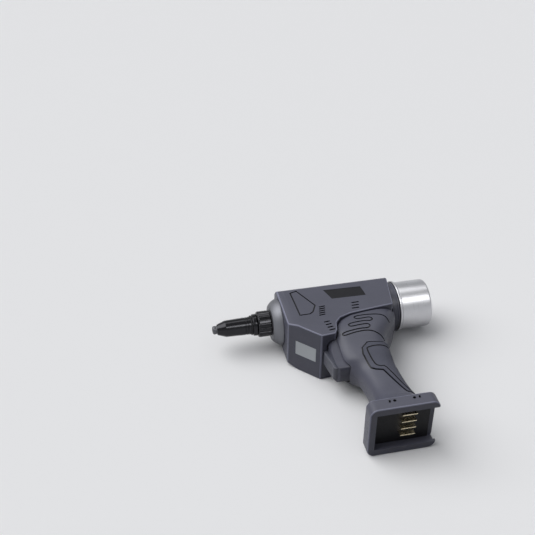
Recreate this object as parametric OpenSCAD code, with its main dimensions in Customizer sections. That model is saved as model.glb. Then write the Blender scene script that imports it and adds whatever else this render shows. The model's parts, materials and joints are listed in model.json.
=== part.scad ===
// Battery rivet tool lying on its right side, with no battery fitted.
// X runs along the drive axis from the nose to the rear, -Y runs down the handle, +Z is the left side.
// In the modules x = 0 is the front face of the body, and y = 0, z = 0 is the drive axis.

/* [Body] */
// Half the width of the body and of the foot
half_w = 31; // [30.5:0.25:33]
// Radius of the round roof beyond half the width
roof_over = 3; // [2.5:0.25:6]
// Fall of the roof from its top to the front face
roof_fall = 5.3; // [3:0.1:6]
// Half width of the body beyond half the width of its front face
front_taper = 3.5; // [2:0.25:4]
// Thickness of the housing walls
wall = 2.6; // [2.2:0.1:2.7]
// Front face to rear edge of the body, along the drive axis
body_len = 127; // [125:0.5:131]
// Lean of the rear edge, in millimetres along for each millimetre up
rake = 0.18; // [0.12:0.01:0.22]
// Depth of the belly under the drive axis
belly_depth = 71; // [70:0.5:76]
// Front face to the lowest point of the belly, where the slope isn't flatter than belly_fall
belly_reach = 29.5; // [28:0.5:31]
// Least fall of the belly's front slope for each millimetre back
belly_fall = 1.05; // [1:0.01:1.05]
// Depth of the front face under the drive axis
chin_depth = 40; // [38.5:0.5:41]

/* [Nose] */
// Length of the front ring
ring_len = 11; // [9:0.5:14]
// Radius of the front ring at the lock nut
ring_front_r = 20.5; // [18:0.5:23]
// Radius of the front ring at the body
ring_rear_r = 26.5; // [25:0.5:27]
// Length of the lock nut
nut_len = 20.6; // [19:0.2:24]
// Radius over the ribs of the lock nut
nut_r = 14.6; // [13.8:0.1:16]
// Ribs round the lock nut
nut_ribs = 20; // [16:1:28]
// Length of the nose barrel in front of the lock nut
barrel_len = 40.2; // [38:0.2:46]
// Radius of the nose barrel at the lock nut
barrel_r = 10.2; // [10:0.1:10.4]
// Length of the nosepiece in front of the barrel
tip_len = 5; // [4:0.25:7]
// Radius of the nosepiece head
tip_r = 4.7; // [4.4:0.1:5.2]
// Radius of the mandrel hole in the nosepiece
mandrel_r = 1.7; // [1.2:0.1:2]

/* [Drive] */
// Pulling stroke of the screw
stroke = 20; // [16:0.5:22]
// Radius of the ball screw
screw_r = 7; // [6.8:0.05:7.05]
// Radius of the bore through the ball screw
screw_bore_r = 3.3; // [3.2:0.1:3.6]
// Radius of the jaw case
case_r = 7.5; // [7.3:0.05:7.6]
// Module of the nut gear and of its pinion
gear_module = 1.25; // [1.2:0.01:1.27]
// Teeth on the nut gear
nut_teeth = 34; // [33:1:34]
// Teeth on the output pinion
pinion_teeth = 20; // [19:1:20]
// Width of the nut gear
gear_w = 10; // [8:0.5:11]
// Module of the planetary gears
planet_module = 0.7; // [0.66:0.01:0.71]
// Length of the ring gear
ring_gear_len = 17; // [16:0.5:18]
// Outer radius of the ring gear
ring_gear_r = 19.4; // [19:0.1:19.6]

/* [Motor] */
// Radius of the motor can
motor_r = 18; // [17:0.25:18.5]
// End of the motor to the rear edge of the body
motor_gap = 22.2; // [20:0.2:24]
// Radius of the motor shaft
shaft_r = 2.5; // [2:0.1:3]

/* [Handle] */
// Front of the grip at its waist
grip_front = 62; // [60:0.5:63]
// Back of the grip at its waist
grip_back = 100.5; // [99.5:0.5:104]
// Half the width of the grip at its waist
grip_half_w = 19; // [18.5:0.25:21]
// Half the width of the bulge over the motor
bulge_half_w = 29.5; // [29:0.25:30]
// Front of the handle behind the trigger
trigger_front = 43; // [42:0.25:44]
// Thickness of the back grip on the handle
grip_pad_t = 1.2; // [0.8:0.1:1.6]
// Travel of the trigger
trigger_travel = 6; // [4:0.5:7]
// Half the width of the trigger
trigger_half_w = 8.5; // [7.5:0.25:9]

/* [Foot] */
// Drive axis to the underside of the foot
foot_depth = 190; // [188:0.5:194]
// Height of the side of the foot
foot_h = 15; // [14:0.5:16]
// Front of the foot
foot_front = 45; // [42:0.5:47]
// Back of the foot
foot_back = 116; // [114:0.5:120]
// Half the width of the battery channel over its rails
channel_half_w = 26; // [25.5:0.25:27]
// Depth of the battery channel
channel_h = 12; // [11.5:0.25:12.25]
// Distance between neighbouring battery contacts
contact_pitch = 9; // [7:0.25:10]
// Distance between the two hook screw holes in the side of the foot
hook_pitch = 20; // [16:0.5:26]
// Radius of the hook screw holes
hook_hole_r = 1.6; // [1.2:0.1:2]

/* [Collector] */
// Radius of the mandrel collector
collector_r = 27.5; // [27:0.25:28]
// Length of the mandrel collector
collector_len = 38.7; // [36:0.5:48]
// Wall of the mandrel collector
collector_wall = 1.6; // [1.2:0.1:2]

/* [Shown] */
// The node that is drawn

/* [Hidden] */
$fn = 72;
// Gap between pieces that are pressed or screwed together
fit = 0.05;
// Gap between pieces that slide or turn on each other
run = 0.3;
// Overlap of a cutting shape past the face that it cuts
cut = 1;

// Colours
grey = [0.2, 0.2, 0.22];
black = [0.05, 0.05, 0.05];
steel = [0.6, 0.6, 0.62];
silver = [0.78, 0.78, 0.8];
dark_steel = [0.12, 0.12, 0.13];
gold = [0.8, 0.65, 0.3];
copper = [0.7, 0.42, 0.2];
green = [0.1, 0.3, 0.16];
clear = [0.85, 0.9, 0.95];

// Body
roof_r = half_w + roof_over;
front_h = roof_r - roof_fall;
front_half_w = half_w - front_taper;
belly_x = min(belly_reach, (belly_depth - chin_depth) / belly_fall);

// Nose, from the front face forwards
nut_rear = -ring_len - 0.2;
nut_front = nut_rear - nut_len;
nut_lip = 2;
flange_len = 3.5;
flange_front = nut_front + nut_lip + 0.1;
spigot_front = flange_front + flange_len;
spigot_r = 11;
barrel_front = nut_front - barrel_len;
barrel_cone_len = 9.5;
barrel_front_r = 6;
barrel_bore_x = barrel_front + 10;
nose_tip = barrel_front - tip_len;
case_bore_r = case_r + run;
o_ring_x = nut_front - 1.4;

// Puller, at rest at its front end
case_front = barrel_front + 12;
case_rear = 4 - stroke;
cone_len = 13;
cone_front_r = 3.4;
cone_rear_r = 6.1;
cone_angle = atan((cone_rear_r - cone_front_r) / cone_len);
jaw_gap = 0.36;
jaw_len = 12;
jaw_front = case_front + 1.5;
jaw_rear = jaw_front + jaw_len;
jaw_bore_r = 2.2;
jaw_split = 1.6;
pusher_front = jaw_rear + 0.3;
pusher_len = 8;
spring_x = pusher_front + pusher_len;
thread_len = 14;
thread_r = 5.5;
screw_front = case_rear - thread_len;

// Nut and gears, from the front face backwards
bearing_x = 6;
bearing_len = 6;
ball_nut_x = bearing_x + bearing_len;
bush_r = 15;
bush_len = 5;
ball_nut_r = 12.5;
front_bush_x = ball_nut_x + 0.8;
gear_room_x = front_bush_x + bush_len + 0.2;
gear_x = gear_room_x + 0.8;
cover_x = gear_x + gear_w + 2;
cover_t = 4;
ball_nut_end = cover_x + cover_t - 0.5;
backlash = 0.2;
addendum = 0.9;
dedendum = 1.2;
pressure_angle = 20;
nut_pitch_r = gear_module * nut_teeth / 2;
pinion_pitch_r = gear_module * pinion_teeth / 2;
axis_gap = nut_pitch_r + pinion_pitch_r;
gear_room_r = nut_pitch_r + addendum * gear_module + 0.8;
skirt_r = gear_room_r + 3.1;
pinion_room_r = pinion_pitch_r + addendum * gear_module + 0.6;
lobe_r = pinion_room_r + 2.2;
pinion_shaft_r = 4;
pinion_bearing_r = 6.5;
pinion_bearing_len = 4;
pinion_bearing_x = gear_room_x - 2 - pinion_bearing_len;
guide_front = cover_x + cover_t;

// Planetary gearbox
sun_teeth = 12;
planet_teeth = 18;
ring_teeth = 48;
planet_gap = planet_module * (sun_teeth + planet_teeth) / 2;
planet_angles = [90, 210, 330];
planet_backlash = 0.12;
planet_w = 8;
ring_gear_x = cover_x + cover_t;
carrier_x = ring_gear_x + 1.5;
carrier_t = 3;
carrier_r = planet_gap + 3.2;
planet_x = carrier_x + carrier_t + 0.6;
pin_r = 2;
motor_plate_x = ring_gear_x + ring_gear_len;
motor_plate_t = 4;

// Motor
motor_x = motor_plate_x + motor_plate_t;
motor_bearing_r = 7;
motor_bearing_len = 3.5;
can_wall = 1.2;
rotor_r = 10.2;
stator_bore_r = 10.8;
end_cap_t = 5;
motor_len = body_len - motor_gap - end_cap_t - motor_x;
core_x = motor_x + motor_len * 5 / 44;
core_len = motor_len * 28 / 44;
fan_x = core_x + core_len + motor_len * 2 / 44;
fan_r = 15;
fan_w = motor_len * 5 / 44;
end_cap_x = motor_x + motor_len;

// Screw guide behind the nut
guide_r = 11.3;
guide_bore_r = 9.3;
guide_collar_x = guide_front + 13;
guide_collar_len = 8;
lug_half_h = 3;
seat_r = 6.5;
screw_rear = guide_collar_x + guide_collar_len + 1;

// Rear collar and collector
collar_r = 28.1;
collar_front = body_len - 20;
collar_rear = body_len + 7;
collar_groove_x = body_len - 15;
collar_groove_len = 3;
collar_groove_r = 26.5;
hub_x = collar_groove_x;
web_x = collar_rear - 15.7;
web_t = 3.7;
spigot_len = 9;
collector_bore_r = collector_r - collector_wall;
collar_spigot_r = collector_bore_r - run - 0.1;
seal_wire_r = 0.7;
seal_x = collar_rear + 4.8;
collector_x = collar_rear + 0.3;
collector_rear = collector_x + collector_len;
bead_r = collector_r + 1.9;
bead_len = 2.6;
guide_rear = web_x;
tube_r = 2.9;
tube_bore_r = 2.4;
rear_room_x = collar_front - 3;

// Heights in the lower handle are drawn for a foot at drawn_top, and move with the foot
waist_y = -100;
drawn_top = -172;
foot_top = foot_h - foot_depth + 3;
function low(y) = waist_y + (y - waist_y) * (foot_top - waist_y) / (drawn_top - waist_y);

// Handle outline: height, front, back, half width and squareness of the section at each station
mid_back = (body_len + grip_back) / 2;
stations = [
    [-22, grip_front, body_len + 3, bulge_half_w - 2.5, 2.7],
    [-34, grip_front - 8, body_len - 1, bulge_half_w - 0.5, 3.2],
    [-44, grip_front - 15, body_len - 5.5, bulge_half_w, 3.8],
    [-54, trigger_front - 0.5, mid_back + 1.25, bulge_half_w, 4],
    [-64, trigger_front - 2, mid_back - 6.75, bulge_half_w - 0.5, 4],
    [-74, trigger_front - 1, grip_back + 1, bulge_half_w - 3, 3.4],
    [-88, trigger_front + 1, grip_back, grip_half_w + 4, 3.3],
    [-98, trigger_front + 3, grip_back, grip_half_w + 3, 3],
    [low(-104), grip_front - 10, grip_back, grip_half_w + 1.5, 2.4],
    [low(-110), grip_front - 4.5, grip_back, grip_half_w + 0.5, 2.3],
    [low(-118), grip_front - 2, grip_back, grip_half_w, 2.5],
    [low(-140), grip_front, grip_back + 1, grip_half_w, 2.6],
    [low(-154), grip_front - 1.5, grip_back + 3, grip_half_w + 1, 2.7],
    [low(-164), grip_front - 5, grip_back + 5, grip_half_w + 4, 2.7],
    [foot_top, foot_front + 6, foot_back - 6, half_w - 3, 2.7],
    [foot_top - 4, foot_front + 3, foot_back - 3, half_w - 1, 2.7]
];
section_steps = 10;
handle_room_top = -30;
foot_floor = channel_h - foot_depth + wall;

// Outline of the back grip on the side of the handle
grip_outline = [[86, -84.5], [76, -84], [69, -90], [67.5, -98], [70.5, low(-116)], [74, low(-119.5)],
    [81.5, low(-122.5)], [94, low(-159.5)], [body_len, low(-161)], [body_len, -80.5]];

// Side outline of the body, with its lower edge over the handle
side_outline = [[0, front_h], [74, roof_r + cut], [body_len + rake * roof_r + rake, roof_r + cut],
    [body_len - rake * 33, -33], [body_len - 32, -36], [70, -39.5], [57, -44.5], [51, -52], [48.5, -63.5],
    [45, 1.5 - belly_depth], [belly_x, -belly_depth], [0, -chin_depth]];
plan_chamfer = 9;
shoulder_y = sqrt(roof_r * roof_r - half_w * half_w);

// Housing screws, as places on the side of the tool
roof_screw_y = 17.5;
belly_screw_x = 40;
screw_places = [[44, roof_screw_y], [body_len - 39, roof_screw_y], [belly_screw_x, -62], [body_len - 31, -62],
    [67, low(-106)], [70, foot_top + 9], [94, foot_top + 9]];
boss_r = 5;
screw_shank_r = 1.5;
screw_head_r = 3.2;
screw_head_z = -12;
screw_tip_z = 10;

// Trigger and switch
trigger_top = -66.8;
trigger_bottom = -100;
trigger_rear = 52;
trigger_flange_t = 2;
trigger_flange_y = -91;
switch_front = trigger_rear + trigger_travel + 6;
switch_len = 22;
switch_top = -69;
switch_bottom = -98;
switch_half_w = 9;
plunger_r = 2.6;
plunger_y = -82;
trigger_nose = 32.2;
trigger_outline = [[trigger_rear, trigger_top], [38, trigger_top], [33.2, -68.4], [trigger_nose, -71],
    [33.6, -82], [35.4, -93], [35.4, -98], [37.5, trigger_bottom], [trigger_rear, trigger_bottom]];

// Guard round the trigger, as seen from the side, from above (x and z) and from the front (y and z)
guard_half_w = 21.5;
guard_bottom = trigger_bottom - 2.6;
guard_side = [[54, trigger_top + 3], [37.6, trigger_top + 3], [36.8, trigger_top], [38.6, trigger_bottom + 4],
    [39.4, trigger_bottom - 0.5], [42, guard_bottom], [54, guard_bottom]];
guard_plan = [[36, 0], [36, 9.6], [36.5, 12.5], [37.8, 16], [40, 19], [43.5, 20.9], [48, guard_half_w],
    [54, guard_half_w], [54, 0]];
guard_face = [[trigger_top + 3, 0], [trigger_top + 3, guard_half_w], [trigger_bottom + 28, 19.6],
    [trigger_bottom + 18, 16.4], [trigger_bottom + 8, 13], [trigger_bottom + 3, 11.6], [trigger_bottom, 10.6],
    [trigger_bottom - 1.8, 9.2], [guard_bottom, 6], [guard_bottom, 0]];

// Controller board and leads
board_x = 70;
board_len = 22;
board_top = low(-115);
board_bottom = foot_top + 18;
board_half_t = 0.8;
chip = (board_top - board_bottom) / 6.5;
chip_pitch = chip * 5 / 3;
lead_r = 1.1;

// Work light in the slope of the belly
slope_angle = atan2(chin_depth - belly_depth, belly_x);
slope_len = norm([belly_x, belly_depth - chin_depth]);
lens_start = slope_len * 0.24;
lens_len = slope_len * 0.605;
light_board_len = lens_len * 0.46;
lens_half_w = 9;
lens_t = 2.4;
board_gap = 0.1;
light_board_t = 0.8;
led_r = 1.5;
led_h = 0.7;
led_places = [-4, 4];

// Foot and battery
corner_r = 8;
rail_h = 3;
rail_w = 3;
channel_front = foot_front + 7;
shoe_t = 1.6;
shoe_front = channel_front + 3;
shoe_back = foot_back - 5;
block_front = 74;
block_back = 98;
block_half_w = 17.5;
block_top = foot_floor + 8;
contact_front = 80;
contact_len = 15.5;
contact_half_t = 0.5;
contact_drop = 5.4;
channel_roof = channel_h - foot_depth;
hook_y = 10 - foot_depth;
hook_x = 72;
hook_depth = 4;

// Name plate on each side
plate_outline = [[51.7, 7], [57.3, -10.5], [96.7, -11.5], [95, 5.5]];
plate_t = 1;
plate_recess = 1.2;

// Vent slots on each side: first slot, last slot, count, length and lean
vent_rows = [[[42.6, -22], [39.2, -36.2], 5, 7.5, 7], [[40.8, -48.8], [43, -63], 4, 7, 8],
    [[80.7, -22.1], [78.2, -31.8], 3, 8.7, 2]];
vent_h = 1.8;

// Frame of the whole tool: middle of its box, on the floor
mid_x = (nose_tip + collector_rear) / 2;
mid_y = (roof_r - foot_depth) / 2;

// Shared shapes

// A solid of revolution about the X axis from points of place and radius
module turned(points) {
    rotate([0, 90, 0])
        rotate_extrude()
            polygon([for (p = points) [p[1], p[0]]]);
}

module rod(x0, x1, r) {
    translate([x0, 0, 0])
        rotate([0, 90, 0])
            cylinder(r = r, h = x1 - x0);
}

module tube(x0, x1, outer, inner) {
    difference() {
        rod(x0, x1, outer);
        rod(x0 - cut, x1 + cut, inner);
    }
}

module block(x0, x1, y0, y1, z0, z1) {
    translate([x0, y0, z0])
        cube([x1 - x0, y1 - y0, z1 - z0]);
}

module slab(points, z0, z1) {
    translate([0, 0, z0])
        linear_extrude(z1 - z0)
            polygon(points);
}

module on_motor_axis() {
    translate([0, -axis_gap, 0])
        children();
}

// A ring of round wire about the X axis
module wire_ring(x, r, wire_r) {
    translate([x, 0, 0])
        rotate([0, 90, 0])
            rotate_extrude()
                translate([r, 0])
                    circle(r = wire_r, $fn = 24);
}

// A point of an outline moved inwards by t, for outlines that run clockwise
function turn_left(v) = [-v[1], v[0]];
function unit(v) = v / norm(v);
function inset(points, t) = [
    for (i = [0 : len(points) - 1])
        let (
            before = points[(i + len(points) - 1) % len(points)],
            after = points[(i + 1) % len(points)],
            n1 = -turn_left(unit(points[i] - before)),
            n2 = -turn_left(unit(after - points[i]))
        )
        points[i] + t * (n1 + n2) / (1 + n1 * n2)
];

// Gear outline with involute teeth
function involute(a) = tan(a) * 180 / PI - a;
function tooth_half(r, base_r, pitch_half) =
    pitch_half + involute(pressure_angle) - (r > base_r ? involute(acos(base_r / r)) : 0);
function polar(r, a) = [r * cos(a), r * sin(a)];
function gear_outline(teeth, size, phase, tip, root, slack, steps = 3) =
    let (
        pitch_r = size * teeth / 2,
        base_r = pitch_r * cos(pressure_angle),
        tip_r = pitch_r + tip * size,
        root_r = pitch_r - root * size,
        low_r = max(base_r, root_r),
        pitch_half = (PI * size / 2 - slack) / (2 * pitch_r) * 180 / PI,
        radii = [for (k = [0 : steps]) low_r + (tip_r - low_r) * k / steps],
        halves = [for (r = radii) tooth_half(r, base_r, pitch_half)]
    )
    [
        for (i = [0 : teeth - 1])
            let (a = phase + 360 * i / teeth)
            each concat(
                low_r > root_r ? [polar(root_r, a - halves[0])] : [],
                [for (k = [0 : steps]) polar(radii[k], a - halves[k])],
                [for (k = [steps : -1 : 0]) polar(radii[k], a + halves[k])],
                low_r > root_r ? [polar(root_r, a + halves[0])] : []
            )
    ];

module gear(x0, x1, teeth, size, phase, slack) {
    translate([x0, 0, 0])
        rotate([0, 90, 0])
            linear_extrude(x1 - x0)
                polygon(gear_outline(teeth, size, phase, addendum, dedendum, slack));
}

// A coil spring about the X axis
module coil(x0, length, r, wire_r, turns) {
    sides = 6;
    steps = turns * 14;
    pitch = (length - 2 * wire_r) / turns;
    echo(str("coil gap to itself ", pitch - 2 * wire_r));
    rings = [
        for (i = [0 : steps])
            let (a = 360 * turns * i / steps, x = x0 + wire_r + (length - 2 * wire_r) * i / steps)
            [for (k = [0 : sides - 1])
                let (b = 360 * k / sides, reach = r + wire_r * cos(b))
                [x + wire_r * sin(b), reach * cos(a), reach * sin(a)]]
    ];
    walls = [
        for (i = [0 : steps - 1], k = [0 : sides - 1])
            let (n = (k + 1) % sides, p = i * sides, q = p + sides)
            each [[p + k, p + n, q + n], [p + k, q + n, q + k]]
    ];
    ends = [[for (k = [sides - 1 : -1 : 0]) k], [for (k = [0 : sides - 1]) steps * sides + k]];
    polyhedron([for (ring = rings) each ring], concat(walls, ends), convexity = 10);
}

// The handle between two heights, drawn inwards by t from its outside
function power(v, p) = sign(v) * pow(abs(v), p);
function section(s, t) =
    let (
        middle = (s[1] + s[2]) / 2,
        reach = (s[2] - s[1]) / 2 - t,
        side = s[3] - t,
        p = 2 / s[4]
    )
    [for (j = [0 : 2 * section_steps - 1])
        let (a = 180 * (j + 0.5) / section_steps)
        [middle + reach * power(cos(a), p), s[0], side * power(sin(a), p)]];
function between(a, b, y) = a + (b - a) * (y - a[0]) / (b[0] - a[0]);
// The stations between two heights, with one made at each end
function cropped(top, bottom) = [
    for (i = [0 : len(stations) - 1])
        let (s = stations[i], n = stations[min(i + 1, len(stations) - 1)])
        each concat(
            s[0] <= top && s[0] >= bottom ? [s] : [],
            s[0] > top && n[0] < top ? [between(s, n, top)] : [],
            s[0] > bottom && n[0] < bottom ? [between(s, n, bottom)] : []
        )
];
module handle_form(t, top, bottom) {
    rings = [for (s = cropped(top, bottom)) section(s, t)];
    count = 2 * section_steps;
    last = len(rings) - 1;
    walls = [
        for (i = [0 : last - 1], j = [0 : count - 1])
            let (n = (j + 1) % count, p = i * count, q = p + count)
            each [[p + j, q + j, q + n], [p + j, q + n, p + n]]
    ];
    top_face = [for (j = [0 : count - 1]) j];
    bottom_face = [for (j = [count - 1 : -1 : 0]) last * count + j];
    polyhedron([for (ring = rings) each ring], concat(walls, [top_face, bottom_face]), convexity = 10);
}

// Housing

// Left half of the body, drawn inwards by t from its outside
module body_half(t) {
    outline = inset(side_outline, t);
    side = half_w - t;
    front = front_half_w - t;
    far = body_len + roof_r;
    intersection() {
        slab(outline, 0, side);
        union() {
            rod(-cut, far, roof_r - t);
            block(-cut, far, -belly_depth - cut, shoulder_y, -cut, side + cut);
        }
        translate([0, roof_r + cut, 0])
            rotate([90, 0, 0])
                linear_extrude(roof_r + belly_depth + 2 * cut)
                    polygon([[0, -cut], [0, front], [plan_chamfer, side], [far, side], [far, -cut]]);
    }
}

// Left half of the foot: a rounded block
module foot_half() {
    y0 = -foot_depth;
    y1 = foot_h - foot_depth;
    inner_w = half_w - corner_r;
    block(foot_front + corner_r, foot_back - corner_r, y0, y1, 0, half_w);
    block(foot_front, foot_back, y0, y1, 0, inner_w);
    for (x = [foot_front + corner_r, foot_back - corner_r])
        translate([x, y0, inner_w])
            rotate([-90, 0, 0])
                cylinder(r = corner_r, h = foot_h);
}

// Left half of the rounded guard that the trigger moves in
module guard_half() {
    intersection() {
        slab(guard_side, 0, guard_half_w);
        translate([0, trigger_top + 3, 0])
            rotate([90, 0, 0])
                linear_extrude(trigger_top + 3 - guard_bottom)
                    polygon(guard_plan);
        translate([guard_plan[0][0], 0, 0])
            rotate([90, 0, 90])
                linear_extrude(18)
                    polygon(guard_face);
    }
}

// Left half of the room inside the body, handle and foot
module room_half() {
    intersection() {
        body_half(wall);
        block(wall, rear_room_x, -belly_depth, roof_r, -cut, half_w);
    }
    handle_form(wall, handle_room_top, foot_floor);
    on_motor_axis() {
        rod(cover_x, motor_plate_x + run, ring_gear_r + run);
        rod(motor_plate_x, end_cap_x + end_cap_t + run, motor_r + run);
    }
    rod(-cut, wall + cut, spigot_r + run);
    rod(rear_room_x - cut, body_len + roof_r, collar_r + 0.2);
}

// Channel under the foot that takes the battery, open at the rear
module battery_channel() {
    wide = channel_half_w;
    narrow = channel_half_w - rail_w;
    block(channel_front, foot_back + cut, rail_h - foot_depth, channel_roof, -wide, wide);
    block(channel_front, foot_back + cut, -foot_depth - cut, rail_h - foot_depth + cut, -narrow, narrow);
    block(block_front - fit, block_back + fit, channel_roof - cut, block_top + fit, -block_half_w - fit,
        block_half_w + fit);
}

// Vent slots through the left side
module vents() {
    for (row = vent_rows)
        for (i = [0 : row[2] - 1])
            translate(concat(row[0] + (row[1] - row[0]) * i / (row[2] - 1), half_w / 2))
                rotate([0, 0, row[4]])
                    translate([-row[3] / 2, -vent_h / 2, 0])
                        cube([row[3], vent_h, half_w]);
}

// Cuts that run across both halves
module shared_cuts() {
    battery_channel();
    block(trigger_nose - run, trigger_rear + 2, trigger_bottom - run, trigger_top + run,
        -trigger_half_w - run, trigger_half_w + run);
    on_slope()
        block(lens_start - fit, lens_start + lens_len + fit, -cut, wall + cut, -lens_half_w - fit,
            lens_half_w + fit);
}

// Places on the slope of the belly: X runs down the slope and Y points into the body
module on_slope() {
    translate([0, -chin_depth, 0])
        rotate([0, 0, slope_angle])
            children();
}

// Pads inside the left half that the drive, the switch and the board bear on
module pads() {
    block(14, cover_x - 2, -6, 6, skirt_r + fit, half_w - 1);
    block(ring_gear_x + 3, motor_plate_x - 3, -axis_gap - 5, -axis_gap + 5, ring_gear_r + fit, half_w - 1);
    for (x = [motor_x + 8, end_cap_x - 12])
        block(x, x + 6, -axis_gap - 4, -axis_gap + 6, motor_r + fit, bulge_half_w - 1.5);
    for (y = [switch_top - 8, switch_bottom + 5])
        block(switch_front + 4, switch_front + switch_len - 4, y, y + 3, switch_half_w + fit,
            station_at(y)[3] - 1.5);
    for (x = [board_x + 2, board_x + board_len - 6], y = [board_top - 2 * chip, board_bottom + chip / 3])
        block(x, x + 4, y, y + 0.6 * chip, board_half_t + fit, station_at(y + 0.6 * chip)[3] - 1.5);
}

module housing_half(left) {
    difference() {
        union() {
            difference() {
                union() {
                    body_half(0);
                    foot_half();
                    guard_half();
                    intersection() {
                        handle_form(0, -22, -foot_depth);
                        block(-cut, body_len + roof_r, -foot_depth, 0, 0, 2 * half_w);
                    }
                }
                room_half();
            }
            intersection() {
                tube(collar_groove_x, collar_groove_x + collar_groove_len, collar_r + 1, collar_groove_r);
                block(0, body_len, -half_w, half_w, 0, half_w);
            }
            pads();
            for (p = screw_places)
                translate([p[0], p[1], 0])
                    cylinder(r = boss_r, h = boss_height(p));
        }
        shared_cuts();
        vents();
        slab(plate_cut(), half_w - plate_recess, half_w + cut);
        for (x = [hook_x, hook_x + hook_pitch])
            translate([x, hook_y, half_w - hook_depth])
                cylinder(r = hook_hole_r, h = hook_depth + cut, $fn = 36);
        for (p = screw_places)
            translate([p[0], p[1], 0])
                screw_bore(left);
    }
}

// Half the width of the handle at a height, as far from its middle as the far edge of a boss at x
function station_at(y) = cropped(y, y - 50)[0];
function boss_reach(x, y) =
    let (
        s = station_at(y),
        share = (abs(x - (s[1] + s[2]) / 2) + boss_r) / ((s[2] - s[1]) / 2 - wall)
    )
    (s[3] - wall) * pow(1 - pow(share, s[4]), 1 / s[4]);

// Height of a screw boss, so that it ends in the wall of the roof, the belly or the handle
function boss_height(p) =
    p[1] > 0 ? sqrt(pow(roof_r, 2) - pow(p[1] + boss_r, 2)) :
    p[0] == belly_screw_x ? half_w - 1 : boss_reach(p[0], p[1]) + wall / 3;
function plate_cut() = inset([for (i = [len(plate_outline) - 1 : -1 : 0]) plate_outline[i]], -0.15);

// A blind hole in the left half, a through hole with a head recess in the right half
module screw_bore(left) {
    translate([0, 0, -cut])
        cylinder(r = screw_shank_r + (left ? fit : 0.2), h = (left ? screw_tip_z : half_w) + 2 * cut,
            $fn = 36);
    if (!left)
        translate([0, 0, -screw_head_z])
            cylinder(r = screw_head_r + run, h = half_w, $fn = 36);
}

module left_housing() {
    color(grey)
        housing_half(true);
}

module right_housing() {
    color(grey)
        mirror([0, 0, 1])
            housing_half(false);
}

module housing_screws() {
    color(steel)
        for (p = screw_places)
            translate([p[0], p[1], 0]) {
                translate([0, 0, screw_head_z])
                    cylinder(r = screw_shank_r, h = screw_tip_z - screw_head_z, $fn = 36);
                difference() {
                    translate([0, 0, screw_head_z - 2.6])
                        cylinder(r = screw_head_r, h = 2.6, $fn = 36);
                    translate([0, 0, screw_head_z - 2.6 - cut])
                        cylinder(r = 1.4, h = cut + 1.6, $fn = 6);
                }
            }
}

module grip_half() {
    difference() {
        intersection() {
            handle_form(-grip_pad_t, -70, low(-170));
            slab(grip_outline, -cut, half_w);
        }
        handle_form(-fit, -60, foot_top - 1);
    }
}

module back_grip() {
    color(black) {
        grip_half();
        mirror([0, 0, 1])
            grip_half();
    }
}

module left_name_plate() {
    color(dark_steel)
        slab(plate_outline, half_w - plate_recess, half_w - plate_recess + plate_t);
}

module right_name_plate() {
    mirror([0, 0, 1])
        left_name_plate();
}

// Work light

module light_lens() {
    color(clear)
        on_slope()
            difference() {
                union() {
                    block(lens_start, lens_start + lens_len, 0, lens_t, -lens_half_w, lens_half_w);
                    block(lens_start + 1, lens_start + lens_len - 1, lens_t, wall + 1, 1 - lens_half_w,
                        lens_half_w - 1);
                }
                at_leds(wall + 1 - led_h)
                    cylinder(r = led_r + run, h = led_h + cut, $fn = 24);
            }
}

// Places of the two light diodes, at a depth under the face of the slope
module at_leds(depth) {
    for (z = led_places)
        translate([lens_start + lens_len - light_board_len / 2, depth, z])
            rotate([-90, 0, 0])
                children();
}

module light_board() {
    board_y = wall + 1 + board_gap;
    color(green)
        on_slope() {
            block(lens_start + lens_len - light_board_len, lens_start + lens_len, board_y,
                board_y + light_board_t, -lens_half_w, lens_half_w);
            at_leds(wall + 1 + board_gap - led_h)
                cylinder(r = led_r, h = led_h + fit, $fn = 24);
        }
}

// Rear collar and mandrel collector

module rear_collar() {
    groove = collar_groove_r - run;
    color(black)
        turned([[hub_x, tube_r + fit], [hub_x, guide_bore_r - fit], [web_x, guide_bore_r - fit],
            [web_x, collar_r - 3.6], [collar_front, collar_r - 3.6], [collar_front, collar_r],
            [collar_groove_x - 0.2, collar_r], [collar_groove_x - 0.2, groove],
            [collar_groove_x + collar_groove_len + 0.2, groove],
            [collar_groove_x + collar_groove_len + 0.2, collar_r], [collar_rear, collar_r],
            [collar_rear, collar_spigot_r], [seal_x - seal_wire_r - 0.2, collar_spigot_r],
            [seal_x - seal_wire_r - 0.2, collector_bore_r - 2 * seal_wire_r - 0.15],
            [seal_x + seal_wire_r + 0.2, collector_bore_r - 2 * seal_wire_r - 0.15],
            [seal_x + seal_wire_r + 0.2, collar_spigot_r], [collar_rear + spigot_len - 1, collar_spigot_r],
            [collar_rear + spigot_len, collar_spigot_r - 1],
            [collar_rear + spigot_len, collar_spigot_r - 3.5],
            [web_x + web_t, collar_spigot_r - 3.5], [web_x + web_t, tube_r + fit]]);
}

module collector_seal() {
    color(black)
        wire_ring(seal_x, collector_bore_r - seal_wire_r - 0.1, seal_wire_r);
}

module mandrel_collector() {
    end = collector_rear;
    color(silver)
        turned([[collector_x, collector_bore_r], [collector_x, bead_r - 0.6], [collector_x + 0.6, bead_r],
            [collector_x + bead_len - 0.6, bead_r], [collector_x + bead_len, bead_r - 0.6],
            [collector_x + bead_len, collector_r], [end - 2, collector_r], [end - 0.6, collector_r - 0.6],
            [end, collector_r - 2], [end, 0], [end - collector_wall, 0],
            [end - collector_wall, collector_bore_r - 1], [end - collector_wall - 1, collector_bore_r]]);
}

// Battery foot

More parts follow.
